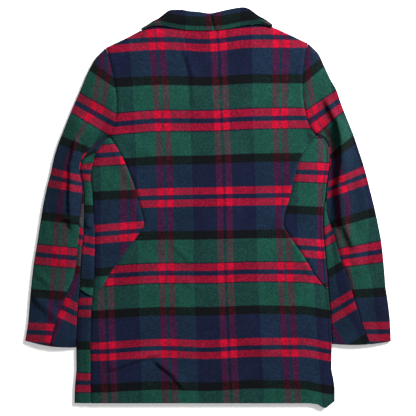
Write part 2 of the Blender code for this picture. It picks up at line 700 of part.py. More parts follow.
def collar(coat):
    """Stand up from the neck seam, roll, and the fall down over the back."""
    along = 18
    stand_rows, roll_rows, fall_rows = 1, 5, 3

    def place(i, j):
        x = mix(COLLAR[0][0], COLLAR[-1][0], i / along)
        roll, free = curve(COLLAR, x, 1), curve(COLLAR, x, 2)
        neck = curve(SHOULDER_LINE, x) + 1.0
        room = roll - WALL / 2 - neck
        radius = min(COLLAR_RADIUS, room * 0.6)
        lie = upper_lie(x, neck, EDGE_DEPTH)
        centre = roll - WALL / 2 - radius
        lift = max(radius, WALL / 2 + LAYER_GAP / 2)
        if j <= stand_rows:
            return x, mix(neck, centre, j / stand_rows), lie
        if j <= stand_rows + roll_rows:
            angle = math.pi * (j - stand_rows) / roll_rows
            return x, centre + radius * math.sin(angle), lie + lift * (1 - math.cos(angle))
        share = (j - stand_rows - roll_rows) / fall_rows
        y = mix(centre, free, share)
        rise = mix(2 * lift, WALL + LAYER_GAP + 0.6, ease(share))
        return x, y, lie + rise + COLLAR_PUFF * math.sin(math.pi * share) ** 2

    cloth(coat, "collar", [(along, stand_rows + roll_rows + fall_rows, place)])


def button(coat, number, y):
    """A flat round button, face down on the floor."""
    name = "button_" + str(number)
    profile = bmesh.new()
    rim = 0.5
    points = ((0, BUTTON_THICKNESS), (BUTTON_RADIUS - rim, BUTTON_THICKNESS),
              (BUTTON_RADIUS, BUTTON_THICKNESS - rim), (BUTTON_RADIUS, rim),
              (BUTTON_RADIUS - rim, 0), (0, 0))
    verts = [profile.verts.new((x * MM, 0, z * MM)) for x, z in points]
    for first, second in zip(verts, verts[1:]):
        profile.edges.new((first, second))
    mesh = bpy.data.meshes.new(name)
    profile.to_mesh(mesh)
    profile.free()
    mesh.materials.append(cloth_material(name + "_horn", BUTTON_COLOUR, 0.35))
    piece = bpy.data.objects.new(name, mesh)
    piece.location = (BUTTON_X * MM, y * MM, 0)
    coat.objects.link(piece)
    screw = piece.modifiers.new("turned", "SCREW")
    screw.steps = 24
    screw.render_steps = 24
    screw.use_merge_vertices = True
    screw.merge_threshold = 0.00001


def main():
    for old in list(bpy.data.objects):
        bpy.data.objects.remove(old)
    coat = bpy.data.collections.new("wool_coat")
    bpy.context.scene.collection.children.link(coat)
    back_centre(coat)
    for is_left in (True, False):
        back_side(coat, is_left)
        front_side(coat, is_left)
        front(coat, is_left)
        lapel(coat, is_left)
        sleeve(coat, is_left)
    collar(coat)
    for number, y in enumerate(BUTTON_ROWS, 1):
        button(coat, number, y)


main()
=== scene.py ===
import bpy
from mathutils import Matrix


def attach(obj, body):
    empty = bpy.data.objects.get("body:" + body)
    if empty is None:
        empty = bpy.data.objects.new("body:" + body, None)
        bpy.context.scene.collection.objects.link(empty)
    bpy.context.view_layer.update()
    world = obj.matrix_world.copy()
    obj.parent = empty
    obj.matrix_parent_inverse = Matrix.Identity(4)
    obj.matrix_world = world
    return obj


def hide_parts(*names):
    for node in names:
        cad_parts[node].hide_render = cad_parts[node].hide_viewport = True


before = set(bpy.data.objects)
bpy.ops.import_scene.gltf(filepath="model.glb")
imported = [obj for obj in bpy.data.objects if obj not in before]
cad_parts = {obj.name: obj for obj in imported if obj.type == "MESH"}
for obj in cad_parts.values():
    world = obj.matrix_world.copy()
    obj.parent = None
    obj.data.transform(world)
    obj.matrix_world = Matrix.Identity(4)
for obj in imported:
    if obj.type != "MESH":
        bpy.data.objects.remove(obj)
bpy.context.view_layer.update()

import math
from functools import lru_cache

import bmesh
import bpy

# Tables are in millimetres, as the coat was measured. Check tables are in points of the picture.
mm = 0.001
photo = {"scale": 2.0, "middleX": 208.0, "middleY": 207.6, "away": 1964.0}
cloth = {"wall": 2.4, "seamGap": 0.3, "edgeRadius": 2.6, "upperLie": 7.5, "edgeDepth": 22.0,
         "puff": 1.6, "puffDepth": 46.0, "rimRound": 0.75}
body = {"centreFront": 6.0, "frontLap": 30.0, "neckTop": 356.0, "breakY": 110.0,
        "armpit": 143.0, "straight": 290.0, "topRow": 330.0, "point": -34.0, "corner": -179.0,
        "forearm": 206.0, "hem": -391.0, "pocket": -160.0, "pocketRoom": 0.9,
        "shoulderRoom": 1.6, "tipRoom": 0.7, "lapRise": 3.1, "buttonRise": 2.1,
        "upperRise": 2.0, "hemReach": 60.0, "foldInset": 9.0, "neckLeft": -138.0, "neckRight": 138.0,
        "neckBlend": 14.0, "sleeveRoom": 0.03, "rightSeamDip": 0.3}
buttons = {"radius": 11.0, "thickness": 1.8, "rows": (90.0, 10.0, -70.0), "x": 6.0,
           "rim": 1.6, "dish": 0.5, "reachAbove": (34, 84), "reachBelow": (31, 60)}
halfWall, halfGap, edgeRound = cloth["wall"] / 2, cloth["seamGap"] / 2, cloth["edgeRadius"]

pocketDip = (
    # round from the edge, how far the pocket seam drops
    (-4.1, 0), (4.1, 5), (14, 11), (24, 16),
)

edgesBelowCuffs = (
    # y, left, right
    (-281, -264.1, 247.9), (-321, -263.6, 247.4), (-345, -265.6, 251.6), (-367, -267.2, 254),
    (-391, -267.6, 254),
)
sideSeams = (
    # y, how far in from the left edge, from the right edge
    (143, 4.2, 4.2), (136, 5.8, 4.4), (127, 9.6, 4.8), (109, 18, 5.2), (91, 24, 5.4),
    (75, 22.4, 6.4), (51, 16.8, 8.4), (9, 18.2, 7.8), (-33, 21, 7), (-79, 26, 7),
    (-143, 28, 7), (-199, 27.8, 6.6), (-239, 28.6, 6.8),
    (-321, 29.2, 4.2), (-345, 31, 4.6), (-367, 32.6, 6), (-391, 33, 6.4),
)
armholes = (
    # y, left, right
    (330, -207, 200.2), (319, -204.2, 197.8), (301, -198.4, 194.2), (275, -192, 190.8),
    (245, -186.4, 189.6), (219, -182.6, 191), (189, -183, 195.4), (163, -187.2, 203.6),
    (152, -192, 209.6), (143, -196.8, 216),
)
backSeams = (
    # y, left, right
    (143, -196.6, 215.8), (113, -178, 192), (78, -160.6, 178), (43, -147, 168.6),
    (9, -138, 160), (-18, -130, 152.2), (-34, -127.8, 151.6), (-50, -136.6, 159.6),
    (-71, -152, 173), (-91, -167.6, 187), (-111, -181.2, 200), (-137, -199, 214.8),
    (-160, -212.4, 233.2), (-179, -231.1, 238.6),
)
frontSeams = (
    # y, left, right, on the layer underneath
    (143, -196.8, 216), (131, -200, 215), (110, -203, 212), (60, -206, 196),
    (-28, -205, 187), (-160, -211, 194),
)
shoulderLine = (
    # x, y
    (-207, 319.2), (-167, 338), (-134, 355), (-120, 362), (-106, 366), (88, 366),
    (100, 369), (113, 369.8), (122, 366.4), (130, 362), (164, 346), (186, 335.6), (201, 328.6),
)
lapelWidths = (
    # y, width in from the roll line
    (186, 6), (210, 34), (262, 70), (290, 52), (352, 34),
)
hemDrop = (
    # x, drop
    (-268, 0), (206, 0), (219, 2.4), (228, 8), (235, 9.6), (244, 3), (254, -4),
)
collarEdges = (
    # x, roll, free edge
    (-133, 358.8, 354), (-126, 362.8, 357.2), (-118, 367.6, 360.8), (-112, 371.6, 362.2),
    (-98, 378.8, 363.8), (-73, 395.4, 360),
    (-55, 395.8, 356.6), (-38, 393, 354.8), (-18, 391.2, 353.8), (3, 388.4, 354),
    (22, 391.8, 355), (42, 396.4, 358), (71, 400.6, 363.6), (79, 398.6, 364.8),
    (101, 383.6, 366.6), (114, 376.6, 365), (121, 371.8, 363.4), (128.5, 366.4, 361.4),
)
leftSleeve = (
    # outer x, outer y, inner x, inner y, back seam in from the inner edge
    (-207.8, 319.4, -198.6, 142.6, 4.2), (-227.6, 298.4, -210.4, 136.2, 4.2),
    (-236, 281, -220, 128, 4.2), (-243.6, 264, -230, 119.5, 4.2),
    (-256.8, 232.2, -240, 110.5, 4.2), (-266, 211, -248.5, 102, 4.2),
    (-274, 192.4, -253, 92, 4.2), (-291.2, 149.8, -256, 75, 4.2),
    (-300.6, 126, -253.8, 62, 4.2), (-310, 94.2, -250.5, 49, 4.2),
    (-315.2, 70.2, -249.2, 37, 4.2), (-322, 43.8, -248.4, 24, 4.2),
    (-331, 1.2, -248.2, -8, 7), (-336.4, -32.8, -248.6, -40, 9),
    (-343, -74.8, -252, -78, 9), (-348.4, -106.8, -254.6, -109, 9),
    (-352.4, -138.8, -255.8, -141, 14), (-355, -164.8, -257.6, -168, 24),
    (-357, -186.8, -260.4, -191, 29), (-360.2, -226.8, -262.6, -231, 42),
    (-366.4, -266.2, -264.2, -279.8, 54),
)
rightSleeve = (
    # outer x, outer y, inner x, inner y, back seam in from the inner edge
    (201.2, 328.8, 216.8, 144, 4.2), (221.6, 307.8, 230.6, 138, 4.2),
    (230.8, 287.8, 239.8, 125.5, 4.2), (244, 259.2, 243.8, 111.5, 4.2),
    (257.4, 235.2, 244, 98, 4.2), (265.4, 211.2, 243, 86, 4.2),
    (276, 184.4, 241.6, 73, 4.2), (291.8, 145.2, 238.6, 56, 4.2),
    (302, 115.2, 237, 40, 4.2), (310, 91.2, 235.4, 26, 4.2),
    (318, 63.2, 233.4, 10, 4.2), (326, 31.2, 231.4, -10, 6),
    (334, -0.8, 230.4, -32, 14), (340, -28.8, 231.4, -52, 20),
    (347.6, -68.8, 233.8, -80, 25), (351, -98.8, 236.2, -107, 30),
    (353.8, -130, 238.8, -135, 39), (356, -158.8, 240.8, -162, 45),
    (360, -184.8, 243, -188, 50), (365, -228.8, 246.6, -231, 62),
    (366.6, -267.6, 248, -273, 76),
)
sleeves = {"stations": 3.0, "cuff": 26.0, "sag": 3.6, "room": 1.0, "handle": 0.3, "square": 0.35,
           "sectionSteps": 24, "puff": 1.6}

# Soft folds, listed one by one. The last column is the width over which a one-sided fold drops, or 0.
folds = (
    # start x, start y, end x, end y, half width, height, step
    (-186, -323, -142, -306, 14, 6, 1.4), (-142, -306, -106, -297, 12, 4.4, 1.4),
    (-98, -314, -76, -331, 12, 4.6, 1.4), (-76, -331, -55, -356, 11, 4, 1.4),
    (-66, -83, -44, -105, 11, 1.7, 1.6), (-40, -157, -18, -165, 10, 1.5, 1.6),
    (-48, 309, -34, 264, 14, 3.4, 2), (-34, 264, -32, 222, 12, 2.4, 3),
    (-186, 150, -120, 112, 13, 1.8, 0), (200, 160, 140, 108, 13, 1.8, 0),
    (-196, 120, -150, 60, 12, 1.2, 0), (196, 110, 160, 40, 12, 1.4, 0),
    (-120, 10, -70, 30, 13, 1.2, 0), (140, -20, 90, -6, 13, 1.2, 0),
    (60, -250, 130, -300, 13, 1.1, 0), (120, -330, 190, -290, 13, 1.4, 0),
    (-210, -250, -190, -350, 14, 1.2, 0), (20, 60, 60, -20, 15, 1, 0),
    (-267, 128, -276, 81, 17, 12, 1.6), (-276, 81, -278, 2, 19, 13, 1.6),
    (-278, 2, -277, -26, 18, 11, 2), (-277, -28, -254, -35, 16, 11.5, 1.6),
    (-238, 154, -267, 128, 16, 7.5, 2.5), (-250, 150, -280, 75, 26, 5.5, 0),
    (-280, 75, -282, 0, 27, 6, 0), (-282, 0, -300, -80, 26, 3, 0),
    (-348, -183, -304, -226, 13, 5, 2), (-350, -129, -322, -152, 8, 3, 2),
    (240, 196, 256, 164, 20, 8, 2.5), (256, 164, 261, 140, 20, 13.5, 1.4),
    (261, 140, 263, 96, 20, 14.5, 1.4), (263, 96, 257, 44, 22, 13.5, 1.4),
    (257, 44, 262, -20, 20, 11, 2), (262, -20, 282, -70, 16, 8, 2.5),
    (288, -60, 300, -120, 14, 3, 0),
    (232, 150, 250, 130, 12, -4.8, 0), (250, 130, 254, 50, 14, -5.2, 0),
    (252, 50, 246, -40, 11, -4.6, 0), (244, -40, 250, -90, 8, -3.4, 0),
    (300, 60, 322, 0, 12, 2, 0), (330, -90, 286, -122, 11, 2, 0),
    (340, -180, 352, -240, 12, 1.8, 0), (-232, 100, -244, 84, 5, -2.8, 0),
    (-330, 20, -318, -60, 12, 1.8, 0),
)


@lru_cache(maxsize=None)
def prepared(rows, column):
    # Made once for each table and column.
    keys = [row[0] for row in rows]
    values = [row[column] for row in rows]
    if keys[0] > keys[-1]:
        keys.reverse()
        values.reverse()
    slopes = [(values[i + 1] - values[i]) / (keys[i + 1] - keys[i]) for i in range(len(keys) - 1)]
    tangents = [slopes[0]]
    for before, after in zip(slopes, slopes[1:]):
        tangents.append(0.0 if before * after <= 0 else 2 * before * after / (before + after))
    return keys, values, tangents + [slopes[-1]]


def curve(rows, at, column=1, beyond=False):
    # A smooth line through a column of a table, with no overshoot.
    keys, values, tangents = prepared(rows, column)
    if at <= keys[0]:
        return values[0] + (tangents[0] * (at - keys[0]) if beyond else 0.0)
    if at >= keys[-1]:
        return values[-1] + (tangents[-1] * (at - keys[-1]) if beyond else 0.0)
    k = max(i for i in range(len(keys) - 1) if keys[i] <= at)
    step = keys[k + 1] - keys[k]
    t = (at - keys[k]) / step
    start, end = tangents[k] * step, tangents[k + 1] * step
    return (values[k] * (2 * t**3 - 3 * t**2 + 1) + start * (t**3 - 2 * t**2 + t)
            + values[k + 1] * (3 * t**2 - 2 * t**3) + end * (t**3 - t**2))


def mix(a, b, t):
    return a + (b - a) * t


def ease(t):
    t = min(1.0, max(0.0, t))
    return t * t * (3 - 2 * t)


def spread(start, end, count):
    return [mix(start, end, (k + 1) / count) for k in range(count)]


def innerEdge(table):
    # A sleeve's edge beside the body, as height and place across.
    rows = tuple((k, *row) for k, row in enumerate(table))
    steps = [k / 6 for k in range(6 * len(table) - 5)]
    return tuple((curve(rows, step, 4), curve(rows, step, 3)) for step in steps)


leftInner, rightInner = innerEdge(leftSleeve), innerEdge(rightSleeve)
besideSleeves = [143 - 2 * k for k in range(36)] + [71 - 10 * k for k in range(1, 34)]
bodyEdges = tuple((y, curve(leftInner, y) + body["sleeveRoom"], curve(rightInner, y) - body["sleeveRoom"])
                  for y in besideSleeves) + edgesBelowCuffs

quarter = edgeRound * math.pi / 2
edgeLie = halfWall + edgeRound
shoulderSeam = -quarter - 0.6
turnRows = [shoulderSeam + halfGap] + [quarter * k / 5 for k in range(-5, 6)]


def foldHeight(x, y):
    raised = sunk = 0.0
    for x1, y1, x2, y2, width, height, step in folds:
        dx, dy = x2 - x1, y2 - y1
        t = min(1.0, max(0.0, ((x - x1) * dx + (y - y1) * dy) / (dx * dx + dy * dy)))
        offX, offY = x - x1 - dx * t, y - y1 - dy * t
        off = math.hypot(offX, offY)
        if off > 3.2 * width:
            continue
        bump = height * math.exp(-(off / width) ** 2)
        if step:
            sideways = (offY * dx - offX * dy) / math.hypot(dx, dy)
            bump *= 0.5 + 0.5 * math.tanh(sideways / step)
        raised, sunk = max(raised, bump), min(sunk, bump)
    return raised + sunk


def nearButton(x, y, full, reach):
    off = min(math.hypot(x - buttons["x"], y - row) for row in buttons["rows"])
    return ease((reach - off) / (reach - full))


def upperLie(x, y, inset, puff=1.0):
    edge = halfWall + 2 * edgeRound
    lie = mix(edge, cloth["upperLie"], ease(inset / cloth["edgeDepth"]))
    lie += puff * cloth["puff"] * ease(inset / cloth["puffDepth"])
    return (lie + foldHeight(x, y) * ease(inset / body["foldInset"])
            + body["upperRise"] * nearButton(x, y, *buttons["reachAbove"]))


def sideDip(isLeft, away):
    return seamDip(away) * (1.0 if isLeft else body["rightSeamDip"])


def seamDip(away):
    # The cloth sinks at a seam and stands a little beside it.
    return -1.5 * math.exp(-(away / 2.2) ** 2) + 0.5 * math.exp(-((away - 8) / 5) ** 2)


def turn(s):
    # How far in from the edge, and how far up, at a distance s round it.
    if abs(s) < quarter:
        angle = s / edgeRound
        return edgeRound * (1 - math.cos(angle)), math.sin(angle)
    return edgeRound + abs(s) - quarter, math.copysign(1.0, s)


def roundDistance(inset):
    inset -= halfWall
    if inset <= 0:
        return 0.0
    if inset < edgeRound:
        return edgeRound * math.acos(1 - inset / edgeRound)
    return inset - edgeRound + quarter


def heightAt(lift, upper):
    # From the floor layer at -1, over the middle of the edge at 0, to the upper layer at 1.
    return edgeLie + lift * ((upper - edgeLie) if lift > 0 else (edgeLie - halfWall))


def side(isLeft):
    return (1, 1.0) if isLeft else (2, -1.0)


def slantGap(rows, y, column):
    # Half a seam's gap, measured across the coat.
    lean = (curve(rows, y + 2, column) - curve(rows, y - 2, column)) / 4
    return halfGap * math.hypot(1, lean)


def bodyPoint(isLeft, s, y):
    # The point a distance s round the body's edge, upwards where s > 0.
    column, inward = side(isLeft)
    inset, lift = turn(s)
    x = curve(bodyEdges, y, column) + inward * (halfWall + inset)
    other = abs(curve(bodyEdges, y, 3 - column) - x)
    upper = upperLie(x, y, min(inset, other))
    return x, y, heightAt(lift, upper)


def fromEdge(isLeft, x, y):
    column, inward = side(isLeft)
    return inward * (x - curve(bodyEdges, y, column))


def sideSeamRound(isLeft, y, gapSide):
    column, _ = side(isLeft)
    return roundDistance(curve(sideSeams, y, column)) + gapSide * halfGap


def hemY(x, y):
    reach = body["hemReach"]
    return y - curve(hemDrop, x) * ease((reach - (y - body["hem"])) / reach)


def neckShare(x):
    return min(ease((x - body["neckLeft"]) / body["neckBlend"]),
               ease((body["neckRight"] - x) / body["neckBlend"]))


def shoulderRow(x, y):
    if y <= body["straight"]:
        return y
    share = (y - body["straight"]) / (body["topRow"] - body["straight"])
    return mix(body["straight"], curve(shoulderLine, x), share)


def shoulderTurn(x, s):
    inset, lift = turn(s)
    share = 1 - neckShare(x)
    y = (curve(shoulderLine, x) - share * (halfWall + inset)
         - (1 - share) * (s - shoulderSeam))
    upper = upperLie(x, y, mix(cloth["edgeDepth"], inset, share), 0)
    return x, y, heightAt(mix(1.0, lift, share), upper)


# Where the check lies on each piece. Whole numbers are red pairs: even ones on navy in the
# bands across the coat, odd ones on green. Up and down the cloth, 0 is the pair on green.
halfRepeat = {"across": 59.5, "sleeveAcross": 55.0}


def pictureX(x, z=8.0):
    return x / photo["scale"] * (1 + (z - 8) / photo["away"]) + photo["middleX"]


def pictureY(y, z=8.0):
    return photo["middleY"] - y / photo["scale"] * (1 + (z - 8) / photo["away"])


bandPlaces = (100, 165, 205, 255, 300, 330)
backBands = (
    # band, then its height at each of the places across
    (-0.5, 3, -1, 1, -2, -2, -1), (0, 43.6, 39.6, 41.8, 37.2, 37.4, 39),
    (0.5, 83.5, 80.5, 81.5, 79, 79, 79),
    (1, 126, 120.8, 121, 118.7, 118.2, 119), (1.5, 165, 160.5, 160, 158, 157.5, 158),
    (2, 199.5, 197.6, 196.7, 195.8, 195.2, 196), (2.5, 237, 235.5, 235, 234, 233.8, 235),
    (3, 276.5, 273, 273.2, 271.6, 272, 276), (3.5, 314.5, 311.2, 311.3, 309.5, 310.2, 314.5),
    (4, 351.6, 348, 349.6, 347.3, 347, 351.7), (4.5, 388, 385.3, 386.5, 384, 384.6, 390),
    (5, 426, 423, 424, 422, 422.5, 428),
)
backPairs = (
    # height, first pair, pair on green, pair on navy, next pair on green
    (30, 95, 154.8, 217.2, 281.4), (45, 97, 156.8, 218.6, 281), (115, 102, 162.5, 221.5, 280),
    (190, 104, 165.5, 224.5, 282.6), (265, 105.4, 166.5, 225.6, 285), (340, 107.6, 169, 228.5, 289.2),
    (400, 109.8, 170.5, 231.3, 292.9),
)
bandCurves = [(row[0], tuple(zip(bandPlaces, row[1:]))) for row in backBands]


def backCheck(x, y):
    px, py = pictureX(x), pictureY(y)
    heights = [(curve(places, px), band) for band, places in bandCurves]
    k = max([i for i in range(len(heights) - 1) if heights[i][0] <= py], default=0)
    v = mix(heights[k][1], heights[k + 1][1], (py - heights[k][0]) / (heights[k + 1][0] - heights[k][0]))
    pairs = [curve(backPairs, py, k, True) for k in (1, 2, 3, 4)]
    k = 0 if px < pairs[1] else 1 if px < pairs[2] else 2
    return k - 1 + (px - pairs[k]) / (pairs[k + 1] - pairs[k]), v


wedges = {
    # bands: band, then its height at the start of the piece and a width further right
    "left": {"start": 95, "width": 48, "pair": 128.4, "bands": (
        (0.5, 116.5, 113), (1, 155.8, 152.5), (1.5, 196, 194), (2, 234.6, 230.4), (2.5, 272.5, 268),
        (3, 310, 306))},
    "right": {"start": 285, "width": 40, "pair": 325.2, "bands": (
        (0.5, 134, 134), (1, 171.5, 172.8), (1.5, 209.5, 211.3), (2, 246.2, 249.4), (2.5, 284, 287.5),
        (3, 322, 325))},
}
strips = {
    "start": 84, "width": 10,
    "side": ((-0.1, 134, 120), (0.45, 156, 150), (0.86, 163.5, 162), (1, 171.5, 172.5), (1.5, 208.8, 209.6),
             (2, 244.2, 246.4), (2.5, 283, 283.6), (3, 320, 320)),
    "front": ((1.5, 269, 269), (2, 307.4, 307.6), (2.5, 345.5, 345.5), (3, 382.6, 382.6), (3.5, 420, 420)),
}


@lru_cache(maxsize=None)
def turned(rows, column):
    return tuple((row[column], row[0]) for row in rows)


def bandBetween(rows, share, py):
    return mix(curve(turned(rows, 1), py, 1, True), curve(turned(rows, 2), py, 1, True), share)


def ofSide(tables, isLeft):
    return tables["left" if isLeft else "right"]


def wedgeCheck(isLeft, x, y):
    wedge = ofSide(wedges, isLeft)
    px, py = pictureX(x), pictureY(y)
    v = bandBetween(wedge["bands"], (px - wedge["start"]) / wedge["width"], py)
    return (px - wedge["pair"]) / halfRepeat["across"], v


def stripCheck(name, start, px, y, along):
    share = min(1, max(0, (px - strips["start"]) / strips["width"]))
    return start + along / halfRepeat["across"], bandBetween(strips[name], share, pictureY(y))


def rightEdge(y):
    return curve(bodyEdges, y, 2) - cloth["wall"]


def carriedRound(check, away):
    # On the right the check runs on round the edge from the back.
    u, v = check
    return u + away / photo["scale"] / halfRepeat["across"], v


sleeveBands = {
    # Height and band on the outer edge, and on the armhole and then the inner edge.
    # Height and place of the red pair that runs down the sleeve.
    "left": {
        "outer": ((48, 0.2), (66, 0.5), (102.3, 1), (140, 1.5), (176.8, 2), (215.8, 2.5), (254.2, 3),
                  (293, 3.5), (331.8, 4), (370, 4.5)),
        "inner": ((48, 0.2), (83, 0.5), (124.4, 1), (136, 1.14), (151, 1.5), (184.6, 2), (221, 2.5),
                  (258.6, 3), (297, 3.5), (334.5, 4), (372, 4.5)),
        "pair": ((65, 106), (90, 101), (108, 98), (117, 91.5), (130, 85), (145, 77), (160, 71),
                 (180, 68), (205, 63.2), (230, 60.8), (250, 59.9), (262, 58.9), (280, 57.6),
                 (300, 56), (320, 54.5), (345, 52.5)),
    },
    "right": {
        "outer": ((43.5, 0.22), (62, 0.5), (100.3, 1), (139, 1.5), (174.8, 2), (211.7, 2.5), (251.2, 3),
                  (292, 3.5), (331.4, 4), (370, 4.5)),
        "inner": ((43.5, 0.22), (79.5, 0.5), (122, 1), (136, 1.15), (158, 1.5), (190, 2), (227, 2.5),
                  (260, 3), (295, 3.5), (332, 4), (370, 4.5)),
        "pair": ((60, 303), (90, 306), (113.5, 312.3), (122.5, 319), (140, 326), (160, 333), (190, 340),
                 (207, 343), (235, 343), (250, 341.7), (262, 342.3), (288, 347), (345, 354)),
    },
}
underBands = {
    # Height of each band beside the body, how steeply it rises across, and the red pair.
    "left": {
        "rows": ((81, 1), (120, 1.5), (160, 2), (198, 2.5), (236.7, 3), (271, 3.5), (316, 4), (362, 4.5)),
        "at": 80.0, "slope": -0.5,
        "line": ((160, 88), (236, 82), (268, 71.5), (286, 69.5), (297, 65), (313, 58), (345, 45)),
    },
    "right": {
        "rows": ((80, 1), (119, 1.5), (158, 2), (196, 2.5), (235.5, 3), (274, 3.5), (315, 4), (362, 4.5)),
        "at": 328.0, "slope": 0.62,
        "line": ((160, 298), (236, 304), (300, 312), (327, 327.5), (345, 337.5)),
    },
}


@lru_cache(maxsize=None)
def bandLines(isLeft):
    # Each band runs straight from the armhole or inner edge to the outer edge.
    bands = ofSide(sleeveBands, isLeft)
    table, inner = (leftSleeve, leftInner) if isLeft else (rightSleeve, rightInner)
    outer = tuple((row[1], row[0]) for row in table)
    column, _ = side(isLeft)
    lines = []
    for band in [k / 10 for k in range(4, 52)]:
        innerPy = curve(turned(bands["inner"], 1), band, 1, True)
        outerPy = curve(turned(bands["outer"], 1), band, 1, True)
        y = (photo["middleY"] - innerPy) * photo["scale"]
        onArmhole = y > inner[0][0]
        innerX = curve(armholes if onArmhole else inner, y, column if onArmhole else 1, True)
        outerX = curve(outer, (photo["middleY"] - outerPy) * photo["scale"], 1, True)
        lines.append((band, pictureX(innerX), innerPy, pictureX(outerX), outerPy))
    return lines


def sleeveBand(isLeft, px, py):
    # Where a point lies among the bands, from the two that it is between.
    lines = bandLines(isLeft)

    def below(k):
        _, ix, iy, ox, oy = lines[k]
        area = (ox - ix) * (py - iy) - (oy - iy) * (px - ix)
        return area / math.hypot(ox - ix, oy - iy) * (-1 if isLeft else 1)

    if below(0) <= 0:
        return lines[0][0] + below(0) / 70
    low, high = 0, len(lines) - 1
    while high - low > 1:
        middle = (low + high) // 2
        low, high = (middle, high) if below(middle) > 0 else (low, middle)
    before, after = below(low), below(high)
    return mix(lines[low][0], lines[high][0], before / (before - after))


def sleeveCheck(isLeft, x, y, z):
    bands = ofSide(sleeveBands, isLeft)
    px, py = pictureX(x, z), pictureY(y, z)
    off = px - curve(bands["pair"], py)
    if isLeft:
        # The ridge hides some cloth, so one band of the pair is inside the fold.
        hidden = ease((py - 112) / 10) * ease((222 - py) / 8)
        off += hidden * (9.0 if off > -0.6 else -2.6 * (1 - math.exp((off + 0.6) / 4)))
    return off / halfRepeat["sleeveAcross"], sleeveBand(isLeft, px, py)


def underCheck(isLeft, x, y):
    bands = ofSide(underBands, isLeft)
    px, py = pictureX(x), pictureY(y)
    v = curve(bands["rows"], py + bands["slope"] * (px - bands["at"]), 1, True)
    return (px - curve(bands["line"], py, 1, True)) / halfRepeat["across"], v


# The woven check, as a group of nodes: colour, height of the nap and roughness.
weave = {
    "red": (0.845, 0.065, 0.22), "redWarp": (0.80, 0.065, 0.205), "green": (0.13, 0.33, 0.285),
    "navy": (0.115, 0.14, 0.27), "navyWarp": (0.095, 0.13, 0.17), "black": (0.06, 0.065, 0.075),
    "soot": (0.085, 0.12, 0.18), "twill": 2.6, "blend": 3.3, "fuzz": 0.014, "acrossMm": 119.0,
    "downMm": 151.0,
}


def setValues(node, values):
    for key, value in values.items():
        node.inputs[key].default_value = value


def join(tree, *pairs):
    for source, target in pairs:
        tree.links.new(source, target)


def mathNode(tree, operation, first, second=None, third=None):
    node = tree.nodes.new("ShaderNodeMath")
    node.operation = operation
    for k, value in enumerate((first, second, third)):
        if value is None:
            continue
        if isinstance(value, (int, float)):
            node.inputs[k].default_value = value
        else:
            tree.links.new(value, node.inputs[k])
    return node.outputs[0]


def thread(name):
    # Threads blend nearer to how the eye sees them before the curve below undoes it.
    return (*[value ** (2.2 / weave["blend"]) for value in weave[name]], 1)


def threadRamp(tree, factor, stops):
    ramp = tree.nodes.new("ShaderNodeValToRGB")
    ramp.color_ramp.interpolation = "LINEAR"
    soft = 0.004
    elements = ramp.color_ramp.elements
    elements[0].position, elements[1].position = 0.0, 1.0
    elements[0].color = thread(stops[0][1])
    elements[1].color = thread(stops[-1][1])
    for (end, name), (_, following) in zip(stops, stops[1:]):
        before = elements.new(end - soft)
        before.color = thread(name)
        after = elements.new(end + soft)
        after.color = thread(following)
    tree.links.new(factor, ramp.inputs["Fac"])
    return ramp.outputs["Color"]


